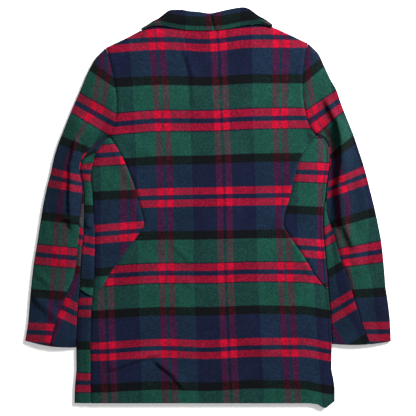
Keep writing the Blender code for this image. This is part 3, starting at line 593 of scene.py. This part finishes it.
def makeTartanGroup():
    group = bpy.data.node_groups.new("tartanWeave", "ShaderNodeTree")
    for name, kind in (("Check", "NodeSocketVector"), ("Place", "NodeSocketVector"),
                       ("Weft Share", "NodeSocketFloat"), ("Mottle", "NodeSocketFloat"),
                       ("Shade", "NodeSocketFloat")):
        group.interface.new_socket(name=name, in_out="INPUT", socket_type=kind)
    for name, kind in (("Color", "NodeSocketColor"), ("Height", "NodeSocketFloat"),
                       ("Roughness", "NodeSocketFloat")):
        group.interface.new_socket(name=name, in_out="OUTPUT", socket_type=kind)
    inside = group.nodes.new("NodeGroupInput")
    outside = group.nodes.new("NodeGroupOutput")

    def noise(scale, detail):
        node = group.nodes.new("ShaderNodeTexNoise")
        setValues(node, {"Scale": scale, "Detail": detail})
        group.links.new(inside.outputs["Place"], node.inputs["Vector"])
        return node

    def combine(operation, *values):
        return mathNode(group, operation, *values)

    def centred(value):
        return combine("SUBTRACT", value, 0.5)

    fuzz, nap, slub, mottle, drift = noise(520, 2), noise(900, 3), noise(430, 1), noise(260, 3), noise(26, 2)
    split = group.nodes.new("ShaderNodeSeparateXYZ")
    fray = group.nodes.new("ShaderNodeSeparateColor")
    join(group, (inside.outputs["Check"], split.inputs[0]), (fuzz.outputs["Color"], fray.inputs[0]))

    def frayed(place, part):
        off = combine("MULTIPLY", centred(part), weave["fuzz"])
        return combine("PINGPONG", combine("ADD", place, off), 1.0)

    warp = threadRamp(group, frayed(split.outputs["X"], fray.outputs[0]), (
        (0.025, "green"), (0.134, "redWarp"), (0.464, "green"), (0.536, "soot"), (0.866, "navyWarp"),
        (0.975, "redWarp"), (1.0, "navyWarp")))
    weft = threadRamp(group, frayed(split.outputs["Y"], fray.outputs[1]), (
        (0.030, "navy"), (0.127, "red"), (0.444, "navy"), (0.556, "black"), (0.860, "green"),
        (0.872, "soot"), (0.970, "red"), (1.0, "navy")))
    across = combine("MULTIPLY", split.outputs["X"], weave["acrossMm"] * math.tau / weave["twill"])
    down = combine("MULTIPLY", split.outputs["Y"], weave["downMm"] * math.tau / weave["twill"])
    twill = combine("SINE", combine("ADD", across, down))
    share = combine("MULTIPLY_ADD", twill, 0.10, inside.outputs["Weft Share"])
    share = combine("MULTIPLY_ADD", centred(nap.outputs["Fac"]), 0.7, share)
    share = combine("MULTIPLY_ADD", centred(slub.outputs["Fac"]), 0.75, share)
    blend = group.nodes.new("ShaderNodeMix")
    blend.data_type = "RGBA"
    join(group, (share, blend.inputs[0]), (warp, blend.inputs[6]), (weft, blend.inputs[7]))
    light = combine("MULTIPLY", centred(mottle.outputs["Fac"]), inside.outputs["Mottle"])
    light = combine("MULTIPLY_ADD", centred(drift.outputs["Fac"]), 0.15, light)
    light = combine("ADD", light, inside.outputs["Shade"])
    shaded = group.nodes.new("ShaderNodeVectorMath")
    shaded.operation = "SCALE"
    join(group, (blend.outputs[2], shaded.inputs[0]), (light, shaded.inputs["Scale"]))
    gamma = group.nodes.new("ShaderNodeGamma")
    setValues(gamma, {"Gamma": weave["blend"]})
    join(group, (shaded.outputs[0], gamma.inputs["Color"]), (gamma.outputs[0], outside.inputs["Color"]))
    raised = combine("MULTIPLY_ADD", twill, 0.12, nap.outputs["Fac"])
    raised = combine("MULTIPLY_ADD", mottle.outputs["Fac"], 0.8, raised)
    rough = combine("MULTIPLY_ADD", nap.outputs["Fac"], 0.15, 0.82)
    join(group, (raised, outside.inputs["Height"]), (rough, outside.inputs["Roughness"]))
    return group


tartan = makeTartanGroup()


def woolMaterial(name, mottle, shade):
    material = bpy.data.materials.new(name)
    material.use_nodes = True
    tree = material.node_tree
    shader = tree.nodes["Principled BSDF"]
    check = tree.nodes.new("ShaderNodeUVMap")
    check.uv_map = "check"
    place = tree.nodes.new("ShaderNodeTexCoord")
    group = tree.nodes.new("ShaderNodeGroup")
    group.node_tree = tartan
    bump = tree.nodes.new("ShaderNodeBump")
    setValues(shader, {"Specular IOR Level": 0.04, "Sheen Weight": 0.02, "Sheen Roughness": 0.6})
    setValues(group, {"Weft Share": 0.72, "Mottle": mottle, "Shade": shade})
    setValues(bump, {"Strength": 0.5, "Distance": 0.0006})
    join(tree, (check.outputs[0], group.inputs["Check"]), (place.outputs["Object"], group.inputs["Place"]),
         (group.outputs["Color"], shader.inputs["Base Color"]),
         (group.outputs["Roughness"], shader.inputs["Roughness"]),
         (group.outputs["Height"], bump.inputs["Height"]), (bump.outputs[0], shader.inputs["Normal"]))
    return material


# The same cloth, a little darker where the picture shows it in shade.
coatWool = woolMaterial("coatWool", 0.37, 0.748)
# The sleeve, under and collar copies are painted shade: the same cloth with its colour darkened to stand in
# for shade.
sleeveWoolPaintedShade = woolMaterial("sleeveWoolPaintedShade", 0.37, 0.712)
underWoolPaintedShade = woolMaterial("underWoolPaintedShade", 0.30, 0.718)
collarWoolPaintedShade = woolMaterial("collarWoolPaintedShade", 0.37, 0.700)


def addObject(name, data):
    made = bpy.data.objects.new(name, data)
    bpy.context.scene.collection.objects.link(made)
    return made


def finishPiece(bm, name, material):
    mesh = bpy.data.meshes.new(name)
    bm.to_mesh(mesh)
    bm.free()
    mesh.shade_smooth()
    mesh.materials.append(material)
    return addObject(name, mesh)


def addGrid(bm, layer, columns, rows, place):
    # A grid of cells, each corner put where place says, with its place in the check.
    made = bmesh.ops.create_grid(bm, x_segments=columns, y_segments=rows, size=0.5)
    checks = {}
    for vert in made["verts"]:
        i = round((vert.co.x + 0.5) * columns)
        j = round((vert.co.y + 0.5) * rows)
        point, checks[vert] = place(i, j)
        vert.co = [value * mm for value in point]
    for face in {face for vert in made["verts"] for face in vert.link_faces}:
        for loop in face.loops:
            loop[layer].uv = checks[loop.vert]


def makeCloth(name, node, material, grids):
    bm = bmesh.new()
    layer = bm.loops.layers.uv.new("check")
    for columns, rows, place in grids:
        addGrid(bm, layer, columns, rows, place)
    bmesh.ops.remove_doubles(bm, verts=bm.verts, dist=0.02 * mm)
    bmesh.ops.recalc_face_normals(bm, faces=bm.faces)
    piece = finishPiece(bm, name, material)
    wall = piece.modifiers.new("wall", "SOLIDIFY")
    wall.thickness = cloth["wall"] * mm
    wall.offset = 0.0
    rim = piece.modifiers.new("rim", "BEVEL")
    rim.width = cloth["rimRound"] * mm
    rim.segments = 2
    rim.limit_method = "ANGLE"
    rim.angle_limit = math.radians(60)
    rim.harden_normals = True
    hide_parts(node)
    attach(piece, "root")
    print(name, "made")


def makeSideCloth(isLeft, words, material, grids):
    # "back side" names the piece backSideLeftCloth and its node back_side_left.
    ending = " left" if isLeft else " right"
    name = (words + ending).title().replace(" ", "")
    makeCloth(name[0].lower() + name[1:] + "Cloth", (words + ending).replace(" ", "_"), material, grids)


def shareSteps(width, cell):
    # Even cells, with a few narrow ones beside both seams.
    close = [0.0, 0.7 / width, 1.6 / width, 3.0 / width, 5.0 / width]
    middle = max(2, round((width - 14) / cell))
    inner = [mix(8.0 / width, 1 - 8.0 / width, k / middle) for k in range(middle + 1)]
    return close + inner + [1 - share for share in reversed(close)]


def rowSteps(cell):
    rows = [body["topRow"], body["straight"]]
    for end in (body["armpit"], body["point"], body["pocket"], body["corner"], body["hem"]):
        rows += spread(rows[-1], end, max(2, round((rows[-1] - end) / cell)))
    return rows


def sideRows(cell, low, added):
    top = body["armpit"] - 1.5
    return sorted([top, *[y for y in rowSteps(cell) if low < y < top], *added], reverse=True)


def makeBackCentre(settings):
    rows = spread(body["topRow"], body["straight"], 9)[:-1] + rowSteps(settings["cell"])[1:]
    shares = shareSteps(settings["width"], settings["cell"])

    def border(isLeft, y):
        column, inward = side(isLeft)
        if y <= (body["corner"] if isLeft else body["pocket"]):
            return bodyPoint(isLeft, sideSeamRound(isLeft, y, 1), y)[0]
        table = armholes if y >= body["armpit"] else backSeams
        return curve(table, y, column) + inward * slantGap(table, y, column)

    def place(i, j):
        isTurned = j < len(turnRows)
        rowY = body["topRow"] if isTurned else rows[j - len(turnRows)]
        down = halfWall + turn(turnRows[j])[0] if isTurned else 0.0
        left = border(True, shoulderRow(-205, rowY) - down)
        right = border(False, shoulderRow(199, rowY) - down)
        x = mix(left, right, shares[i])
        if isTurned:
            point = shoulderTurn(x, turnRows[j])
            return point, backCheck(point[0], point[1] + max(0.0, -turnRows[j]) * 2)
        y = hemY(x, shoulderRow(x, rowY))
        inset = cloth["puffDepth"]
        if rowY > body["straight"]:
            top = curve(shoulderLine, x) - y - halfWall
            inset = mix(top, cloth["puffDepth"], neckShare(x) * ease(top / 20))
        elif rowY < body["armpit"]:
            inset = min(x - curve(bodyEdges, rowY, 1), curve(bodyEdges, rowY, 2) - x)
            inset -= halfWall
        dip = seamDip(x - left)
        if right - x < x - left:
            dip = sideDip(rowY > body["pocket"], right - x)
        return (x, y, upperLie(x, y, inset) + dip), backCheck(x, y)

    makeCloth("backCentreCloth", "back_centre", coatWool,
              [(len(shares) - 1, len(turnRows) + len(rows) - 1, place)])


makeBackCentre({"cell": 3.1, "width": 410, "cut": (0.50, 0.79, 0.76)})


def makeBackSide(isLeft, settings):
    column, inward = side(isLeft)
    corner = body["corner"] if isLeft else body["pocket"]
    rows = sideRows(settings["cell"], corner, [corner + 5, corner + 2.5])
    shares = shareSteps(settings["width"], settings["cell"])

    def place(i, j):
        y = rows[j]
        innerX = curve(backSeams, y, column) - inward * slantGap(backSeams, y, column)
        seam, inner = sideSeamRound(isLeft, y, 1), roundDistance(fromEdge(isLeft, innerX, y))
        s = mix(seam, inner, shares[i])
        x, y, z = bodyPoint(isLeft, s, y)
        dip = sideDip(isLeft, s - seam) if s - seam < inner - s else seamDip(inner - s)
        return (x, y, z + dip), wedgeCheck(isLeft, x, y)

    makeSideCloth(isLeft, "back side", coatWool, [(len(shares) - 1, len(rows) - 1, place)])


for isLeft, cut in ((True, (0.11, 0.32, 0.57)), (False, (0.10, 0.31, 0.47))):
    makeBackSide(isLeft, {"cell": 3.2, "width": 80, "cut": cut})


closeShares = (0, 0.05, 0.12, 0.22, 0.34, 0.46, 0.6, 0.8, 1.0)


def overEdge(seam, shares):
    # Columns from a seam on the upper side over the turned edge to the floor.
    first = min(seam - 1.0, quarter)
    return [mix(seam, first, share) for share in shares] + spread(first, -quarter, 10)


def frontSeamRound(isLeft, y, gapSide):
    column, inward = side(isLeft)
    x = curve(frontSeams, y, column) + gapSide * inward * slantGap(frontSeams, y, column)
    return -roundDistance(fromEdge(isLeft, x, y))


def dippedRow(isLeft, s, y):
    dip = curve(pocketDip, s) if isLeft else 0.0
    return y - dip * ease(1 - abs(y - body["pocket"]) / 60)


def makeFrontSide(isLeft, settings):
    rows = sideRows(settings["cell"], body["pocket"], [body["pocket"] + body["pocketRoom"] / 2])

    def places(y):
        seam = sideSeamRound(isLeft, dippedRow(isLeft, 99, y), -1)
        along = overEdge(seam, (0, 0.06, 0.16, 0.3, 0.45, 0.6, 0.8, 1.0))
        return along + spread(-quarter, frontSeamRound(isLeft, y, -1), 9)

    def place(i, j):
        along = places(rows[j])
        s = along[i]
        x, y, z = bodyPoint(isLeft, s, dippedRow(isLeft, s, rows[j]))
        if s > 0:
            z += sideDip(isLeft, along[0] - s)
            z += settings["flapRise"] * ease(1 - (rows[j] - body["pocket"]) / 10) * ease(s / quarter)
        if isLeft:
            return (x, y, z), stripCheck("side", 0.42, pictureX(x), y, -s / photo["scale"])
        return (x, y, z), carriedRound(wedgeCheck(False, rightEdge(y), y), quarter - s)

    makeSideCloth(isLeft, "front side", coatWool, [(len(places(rows[0])) - 1, len(rows) - 1, place)])


for isLeft, cut in ((True, (0.07, 0.32, 0.92)), (False, (0.06, 0.31, 0.84))):
    makeFrontSide(isLeft, {"cell": 3.0, "flapRise": 1.8, "cut": cut})


def rollLine(isLeft, y):
    low = body["centreFront"] + (body["frontLap"] if isLeft else -body["frontLap"])
    top = -112.0 if isLeft else 110.0
    return mix(low, top, max(0.0, y - body["breakY"]) / (body["neckTop"] - body["breakY"]))


lowerRise = {"pastLapel": 62.0, "lapelFoot": 166.0, "belowShoulder": 8.0, "pastFront": 15.0, "soft": 12.0}


def lowerLie(isLeft, x, y):
    # The fronts rise over the lapels and, on the left, over the other front.
    soft = lowerRise["soft"]
    fromRoll = side(isLeft)[1] * (rollLine(isLeft, y) - x)
    onLapel = ease((curve(lapelWidths, y) + lowerRise["pastLapel"] - fromRoll) / soft)
    onLapel *= ease((y - lowerRise["lapelFoot"]) / soft)
    onLapel *= ease((curve(shoulderLine, x) - y - lowerRise["belowShoulder"]) / 14)
    frontEdge = body["centreFront"] - body["frontLap"] - lowerRise["pastFront"]
    onFront = ease((x - frontEdge) / soft) if isLeft else 0.0
    return (halfWall + body["lapRise"] * max(onLapel, onFront)
            + body["buttonRise"] * nearButton(x, y, *buttons["reachBelow"]))


def makeFront(isLeft, settings):
    column, inward = side(isLeft)
    allRows = rowSteps(settings["cell"])
    split = min(range(len(allRows)), key=lambda k: abs(allRows[k] - body["pocket"]))
    rows = [body["topRow"]] + spread(body["topRow"], body["straight"], 6)[:-1] + allRows[1:split + 1]
    lowRows = allRows[split:]
    shares = [k / settings["across"] for k in range(settings["across"] + 1)]
    roundCount = 27
    topDrop = halfWall + turn(shoulderSeam)[0] + body["shoulderRoom"]

    def flatPoint(share, rowY):
        drop = topDrop if rowY == body["topRow"] else 0.0
        sideY = shoulderRow(-202 * inward, rowY) - drop
        table = armholes if sideY >= body["armpit"] else frontSeams
        outer = curve(table, sideY, column) + inward * slantGap(table, sideY, column)
        x = mix(outer, rollLine(isLeft, sideY), share)
        return x, hemY(x, shoulderRow(x, rowY)) - drop

    def check(x, y, along):
        if isLeft:
            return stripCheck("front", 0.55, pictureX(x), y, along)
        return carriedRound(backCheck(rightEdge(y), y), quarter + along * photo["scale"])

    def upperPlace(i, j):
        x, y = flatPoint(shares[i], rows[j])
        return (x, y, lowerLie(isLeft, x, y)), check(x, y, fromEdge(isLeft, x, y) / photo["scale"])

    def lowerPlace(i, j):
        rowY = lowRows[j]
        if i >= roundCount:
            x, y = flatPoint(shares[i - roundCount], rowY)
            along = fromEdge(isLeft, x, rowY) / photo["scale"]
            return (x, y, lowerLie(isLeft, x, y)), check(x, y, along)
        seam = sideSeamRound(isLeft, dippedRow(isLeft, 99, rowY), -1)
        s = (overEdge(seam, closeShares) + spread(-quarter, -quarter - 28, 8))[i]
        gap = body["pocketRoom"] / 2 if j == 0 else 0.0
        x, y, z = bodyPoint(isLeft, s, dippedRow(isLeft, s, rowY) - gap)
        if s > 0:
            z += sideDip(isLeft, seam - s)
            z -= settings["flapSink"] * ease(1 - (body["pocket"] - rowY) / 9) * ease(s / quarter)
        return (x, hemY(x, y), z), check(x, y, -s / photo["scale"])

    makeSideCloth(isLeft, "front", underWoolPaintedShade, [
        (len(shares) - 1, len(rows) - 1, upperPlace),
        (roundCount + len(shares) - 1, len(lowRows) - 1, lowerPlace)])


for isLeft, cut in ((True, (0.32, 0.76, 0.74)), (False, (0.30, 0.77, 0.70))):
    makeFront(isLeft, {"cell": 5.0, "across": 40, "flapSink": 2.4, "cut": cut})


def makeLapel(isLeft, settings):
    _, inward = side(isLeft)
    rows = [188.0] + spread(188, 262, 12) + spread(262, 320, 9)
    across = settings["across"]

    def place(i, j):
        y = rows[j]
        x = rollLine(isLeft, y) - inward * (1.0 + curve(lapelWidths, y) * i / across)
        return (x, y, halfWall), ((pictureX(x) - 200) / halfRepeat["across"], pictureY(y) / 75.5)

    makeSideCloth(isLeft, "lapel", underWoolPaintedShade, [(across, len(rows) - 1, place)])


for isLeft in (True, False):
    makeLapel(isLeft, {"across": 10, "cut": (0.09, 0.14, 0.55)})


def makeSleeve(isLeft, settings):
    table = tuple((k, *row) for k, row in enumerate(leftSleeve if isLeft else rightSleeve))
    last = len(table) - 1
    column, inward = side(isLeft)
    sections = {}

    def edgeNormal(station, xColumn, yColumn, towards):
        before, after = max(station - 0.3, 0.0), min(station + 0.3, last)
        dx = curve(table, after, xColumn) - curve(table, before, xColumn)
        dy = curve(table, after, yColumn) - curve(table, before, yColumn)
        length = math.hypot(dx, dy) * towards * inward
        return dy / length, -dx / length

    def section(station):
        # A bowed line across the sleeve from its inner to its outer edge: distance, x, y.
        if station in sections:
            return sections[station]
        ox, oy, ix, iy = (curve(table, station, k) for k in (1, 2, 3, 4))
        width = math.hypot(ox - ix, oy - iy)
        across = ((ox - ix) / width, (oy - iy) / width)
        square = sleeves["square"] * ease(station / 2)
        inner = edgeNormal(station, 3, 4, 1)
        outer = edgeNormal(station, 1, 2, -1)
        reach = width * sleeves["handle"]
        x1 = ix + reach * mix(across[0], inner[0], square)
        y1 = iy + reach * mix(across[1], inner[1], square)
        x2 = ox + reach * mix(-across[0], outer[0], square)
        y2 = oy + reach * mix(-across[1], outer[1], square)
        line = []
        for k in range(sleeves["sectionSteps"] + 1):
            t = k / sleeves["sectionSteps"]
            a, b, c, d = (1 - t)**3, 3 * t * (1 - t)**2, 3 * t * t * (1 - t), t**3
            x, y = a * ix + b * x1 + c * x2 + d * ox, a * iy + b * y1 + c * y2 + d * oy
            far = line[-1][0] + math.hypot(x - line[-1][1], y - line[-1][2]) if line else 0.0
            line.append((far, x, y))
        sections[station] = line
        return line

    def halfRing(station):
        return section(station)[-1][0] - cloth["wall"] - 2 * edgeRound + 2 * quarter

    def armholeBulge(share):
        ox, oy, ix, iy = (curve(table, 0, k) for k in (1, 2, 3, 4))
        y = mix(iy, oy, share)
        gap = inward * slantGap(armholes, y, column)
        gap += inward * body["tipRoom"] * max(ease((share - 0.92) / 0.05), ease((0.1 - share) / 0.06))
        return curve(armholes, y, column) - gap - mix(ix, ox, share)

    def placeOn(station, s):
        # The point a distance s round from the middle of the inner edge, upwards where s > 0.
        line = section(station)
        width, half, reach = line[-1][0], halfRing(station), abs(s)
        if reach > half / 2:
            far, lift = turn(half - reach)
            inset = width - cloth["wall"] - far
            lift = abs(lift) * (1 if s > 0 else -1) if reach < half else -abs(lift)
        else:
            inset, lift = turn(s)
        far = inset + halfWall
        k = min(sum(1 for point in line[1:] if point[0] < far), len(line) - 2)
        part = (far - line[k][0]) / (line[k + 1][0] - line[k][0])
        x, y = mix(line[k][1], line[k + 1][1], part), mix(line[k][2], line[k + 1][2], part)
        share = far / width
        hold = ease(1 - station / sleeves["stations"])
        if hold > 0:
            x += hold * armholeBulge(share)
        y -= sleeves["sag"] * math.sin(math.pi * share) * ease(station - last + 1)
        near = min(inset, width - cloth["wall"] - inset)
        near = mix(near, min(cloth["puffDepth"], 4 * near), hold)
        upper = upperLie(x, y, near, sleeves["puff"])
        if lift > 0.99:
            upper += seamDip(station * 14)
        return x, y, heightAt(lift, upper)

    topY, footY = curve(table, 0, 2), curve(table, 0, 4)
    forearmTop = (body["forearm"] - footY) / (topY - footY) * section(0)[-1][0] - halfWall
    forearmTop += quarter - edgeRound

    def forearmRound(station):
        # How far round the seam on the floor side lies.
        return mix(forearmTop, sleeves["cuff"], ease(station / last))

    def forearmPoint(station, away):
        room = sleeves["room"] / 2
        if station == 0:
            return placeOn(0, -forearmRound(0) - away * room)
        before, after = max(station - 0.5, 0.0), min(station + 0.5, last)
        x1, y1, _ = placeOn(before, -forearmRound(before))
        x2, y2, _ = placeOn(after, -forearmRound(after))
        length = math.hypot(x2 - x1, y2 - y1) * inward * away
        x, y, z = placeOn(station, -forearmRound(station))
        return x + room * (y2 - y1) / length, y - room * (x2 - x1) / length, z

    rows = settings["rows"]
    stations = [0.0, 0.05, 0.12, 0.25] + [mix(0.5, last, k / rows) for k in range(rows + 1)]

    def upperPlace(i, j):
        station = stations[j]
        half = halfRing(station)
        start = roundDistance(curve(table, station, 5)) + halfGap
        places = [start, start + 0.7, start + 1.6, start + 3.0, start + 5.0]
        places += spread(start + 5.0, half - quarter, settings["across"])
        places += spread(half - quarter, half + quarter, 10)
        places += spread(half + quarter, 2 * half - forearmRound(station), 12)
        s = places[i]
        if i == len(places) - 1:
            x, y, z = forearmPoint(station, 1)
        else:
            x, y, z = placeOn(station, s if s <= half else s - 2 * half)
            if s < half / 2:
                z += seamDip(s - start)
        u, v = sleeveCheck(isLeft, x, y, z)
        return (x, y, z), (0.6 - u if s > half else u, v)

    def underPlace(i, j):
        station = stations[j]
        back = roundDistance(curve(table, station, 5)) - halfGap
        places = overEdge(back, closeShares) + spread(-quarter, -forearmRound(station), 14)
        if i == len(places) - 1:
            x, y, z = forearmPoint(station, -1)
        else:
            x, y, z = placeOn(station, places[i])
            if places[i] > 0:
                z += seamDip(back - places[i])
        return (x, y, z), underCheck(isLeft, x, y)

    makeSideCloth(isLeft, "upper sleeve", sleeveWoolPaintedShade,
                  [(4 + settings["across"] + 10 + 12, len(stations) - 1, upperPlace)])
    makeSideCloth(isLeft, "under sleeve", underWoolPaintedShade,
                  [(8 + 10 + 14, len(stations) - 1, underPlace)])


makeSleeve(True, {"rows": 120, "across": 30, "upperCut": (0.17, 0.63, 0.70),
                  "underCut": (0.09, 0.48, 0.57)})
makeSleeve(False, {"rows": 120, "across": 30, "upperCut": (0.18, 0.63, 0.73),
                   "underCut": (0.10, 0.48, 0.56)})


def makeCollar(settings):
    along, standRows, rollRows, fallRows = settings["along"], 3, 10, 12

    def place(i, j):
        x = mix(collarEdges[0][0], collarEdges[-1][0], i / along)
        roll, free = curve(collarEdges, x, 1), curve(collarEdges, x, 2)
        neck = curve(shoulderLine, x) + 1.0
        room = roll - halfWall - neck
        radius = min(2.2, room * 0.6)
        lie = upperLie(x, neck, cloth["edgeDepth"], 0)
        centre = roll - halfWall - radius
        lift = max(radius, halfWall + 0.15)
        ends = ease((abs(x) - 60) / 50)
        px = pictureX(x)
        u = (px - mix(213.5, 211.2, ease((free - neck + 20) / 40))) / halfRepeat["across"]
        if j <= standRows:
            point = (x, mix(neck, centre, j / standRows), lie)
        elif j <= standRows + rollRows:
            angle = math.pi * (j - standRows) / rollRows
            point = (x, centre + radius * math.sin(angle), lie + lift * (1 - math.cos(angle)))
        else:
            share = (j - standRows - rollRows) / fallRows
            y = mix(centre, free, share)
            rise = mix(2 * lift, cloth["wall"] + 0.9 + 1.2 * ends, ease(share))
            puff = settings["puff"] * math.sin(math.pi * share) ** 2
            crease = math.exp(-((x - mix(5, 13, share)) / 2.4) ** 2)
            point = (x, y, lie + rise + puff - settings["crease"] * crease * (1 - 0.5 * share))
        down = (point[1] - free) / photo["scale"]
        if j <= standRows:
            down = (2 * centre - point[1] - free) / photo["scale"]
        return point, (u, 0.556 - (down - 4.3) / 82)

    makeCloth("collarCloth", "collar", collarWoolPaintedShade,
              [(along, standRows + rollRows + fallRows, place)])


makeCollar({"along": 104, "puff": 2.2, "crease": 4.0, "cut": (0.26, 0.09, 0.58)})


def hornMaterial():
    material = bpy.data.materials.new("hornButton")
    material.use_nodes = True
    tree = material.node_tree
    shader = tree.nodes["Principled BSDF"]
    setValues(shader, {"Coat Weight": 0.3})
    place = tree.nodes.new("ShaderNodeTexCoord")
    swirl = tree.nodes.new("ShaderNodeTexNoise")
    setValues(swirl, {"Scale": 160, "Distortion": 1.5})
    ramp = tree.nodes.new("ShaderNodeValToRGB")
    ramp.color_ramp.elements[0].color = (0.012, 0.008, 0.006, 1)
    ramp.color_ramp.elements[1].color = (0.085, 0.048, 0.030, 1)
    rough = mathNode(tree, "MULTIPLY_ADD", swirl.outputs["Fac"], 0.2, 0.25)
    bump = tree.nodes.new("ShaderNodeBump")
    setValues(bump, {"Strength": 0.15, "Distance": 0.0003})
    join(tree, (place.outputs["Object"], swirl.inputs["Vector"]), (swirl.outputs["Fac"], ramp.inputs["Fac"]),
         (ramp.outputs["Color"], shader.inputs["Base Color"]), (rough, shader.inputs["Roughness"]),
         (swirl.outputs["Fac"], bump.inputs["Height"]), (bump.outputs[0], shader.inputs["Normal"]))
    return material


horn = hornMaterial()


def makeButton(number, y):
    # Face down: a raised rim round a shallow dish on the floor side, flat on the cloth side.
    radius, thick = buttons["radius"], buttons["thickness"]
    bm = bmesh.new()
    profile = ((0.01, thick), (radius - 0.6, thick), (radius, thick - 0.6), (radius, 0.5),
               (radius - 0.5, 0.0), (radius - buttons["rim"], 0.0),
               (radius - buttons["rim"] - 0.8, buttons["dish"]), (0.01, buttons["dish"]))
    verts = [bm.verts.new((x * mm, 0, z * mm)) for x, z in profile]
    edges = [bm.edges.new(pair) for pair in zip(verts, verts[1:])]
    bmesh.ops.spin(bm, geom=verts + edges, axis=(0, 0, 1), cent=(0, 0, 0), angle=math.tau,
                   steps=48, use_merge=True)
    bmesh.ops.remove_doubles(bm, verts=bm.verts, dist=0.03 * mm)
    bmesh.ops.holes_fill(bm, edges=bm.edges, sides=0)
    bmesh.ops.recalc_face_normals(bm, faces=bm.faces)
    bmesh.ops.translate(bm, verts=bm.verts, vec=(buttons["x"] * mm, y * mm, 0))
    piece = finishPiece(bm, "hornButton%d" % number, horn)
    rim = piece.modifiers.new("rim", "BEVEL")
    rim.width = 0.2 * mm
    rim.segments = 2
    rim.limit_method = "ANGLE"
    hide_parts("button_%d" % number)
    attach(piece, "root")


for number, y in enumerate(buttons["rows"], 1):
    makeButton(number, y)
print("buttons made")

# Floor, light and camera.
studio = {"floor": 4.0, "lens": 85.0, "frameWidth": 0.832, "coatTop": 0.008, "world": 0.22}

floorMesh = bpy.data.meshes.new("studioFloor")
bm = bmesh.new()
bmesh.ops.create_grid(bm, x_segments=1, y_segments=1, size=studio["floor"])
bmesh.ops.translate(bm, verts=bm.verts, vec=(0, 0, -0.0004))
bm.to_mesh(floorMesh)
bm.free()
floor = addObject("studioFloor", floorMesh)
floorPaint = bpy.data.materials.new("paleFloor")
floorPaint.use_nodes = True
setValues(floorPaint.node_tree.nodes["Principled BSDF"], {
    "Base Color": (0.93, 0.93, 0.93, 1), "Emission Color": (1, 1, 1, 1), "Emission Strength": 0.18,
    "Roughness": 0.9})
floorMesh.materials.append(floorPaint)

world = bpy.context.scene.world or bpy.data.worlds.new("studio")
bpy.context.scene.world = world
world.use_nodes = True
setValues(world.node_tree.nodes["Background"], {"Color": (1, 1, 1, 1), "Strength": studio["world"]})


def softLight(name, place, size, power):
    lamp = bpy.data.lights.new(name, "AREA")
    lamp.shape = "SQUARE"
    lamp.size = size
    lamp.energy = power
    lit = addObject(name, lamp)
    lit.location = place
    aim = -lit.location.normalized()
    lit.rotation_mode = "QUATERNION"
    lit.rotation_quaternion = aim.to_track_quat("-Z", "Y")


softLight("keyLight", (1.8, 1.6, 1.6), 1.1, 272)
softLight("fillLight", (-0.3, -0.5, 2.6), 1.4, 14)

camera = bpy.data.cameras.new("camera")
camera.lens = studio["lens"]
camera.sensor_width = 36.0
seen = addObject("camera", camera)
away = studio["frameWidth"] * studio["lens"] / camera.sensor_width
seen.location = (0, (photo["middleY"] - 208.0) * photo["scale"] * mm, away + studio["coatTop"])
bpy.context.scene.camera = seen
bpy.context.scene.view_settings.view_transform = "Standard"
print("studio made")
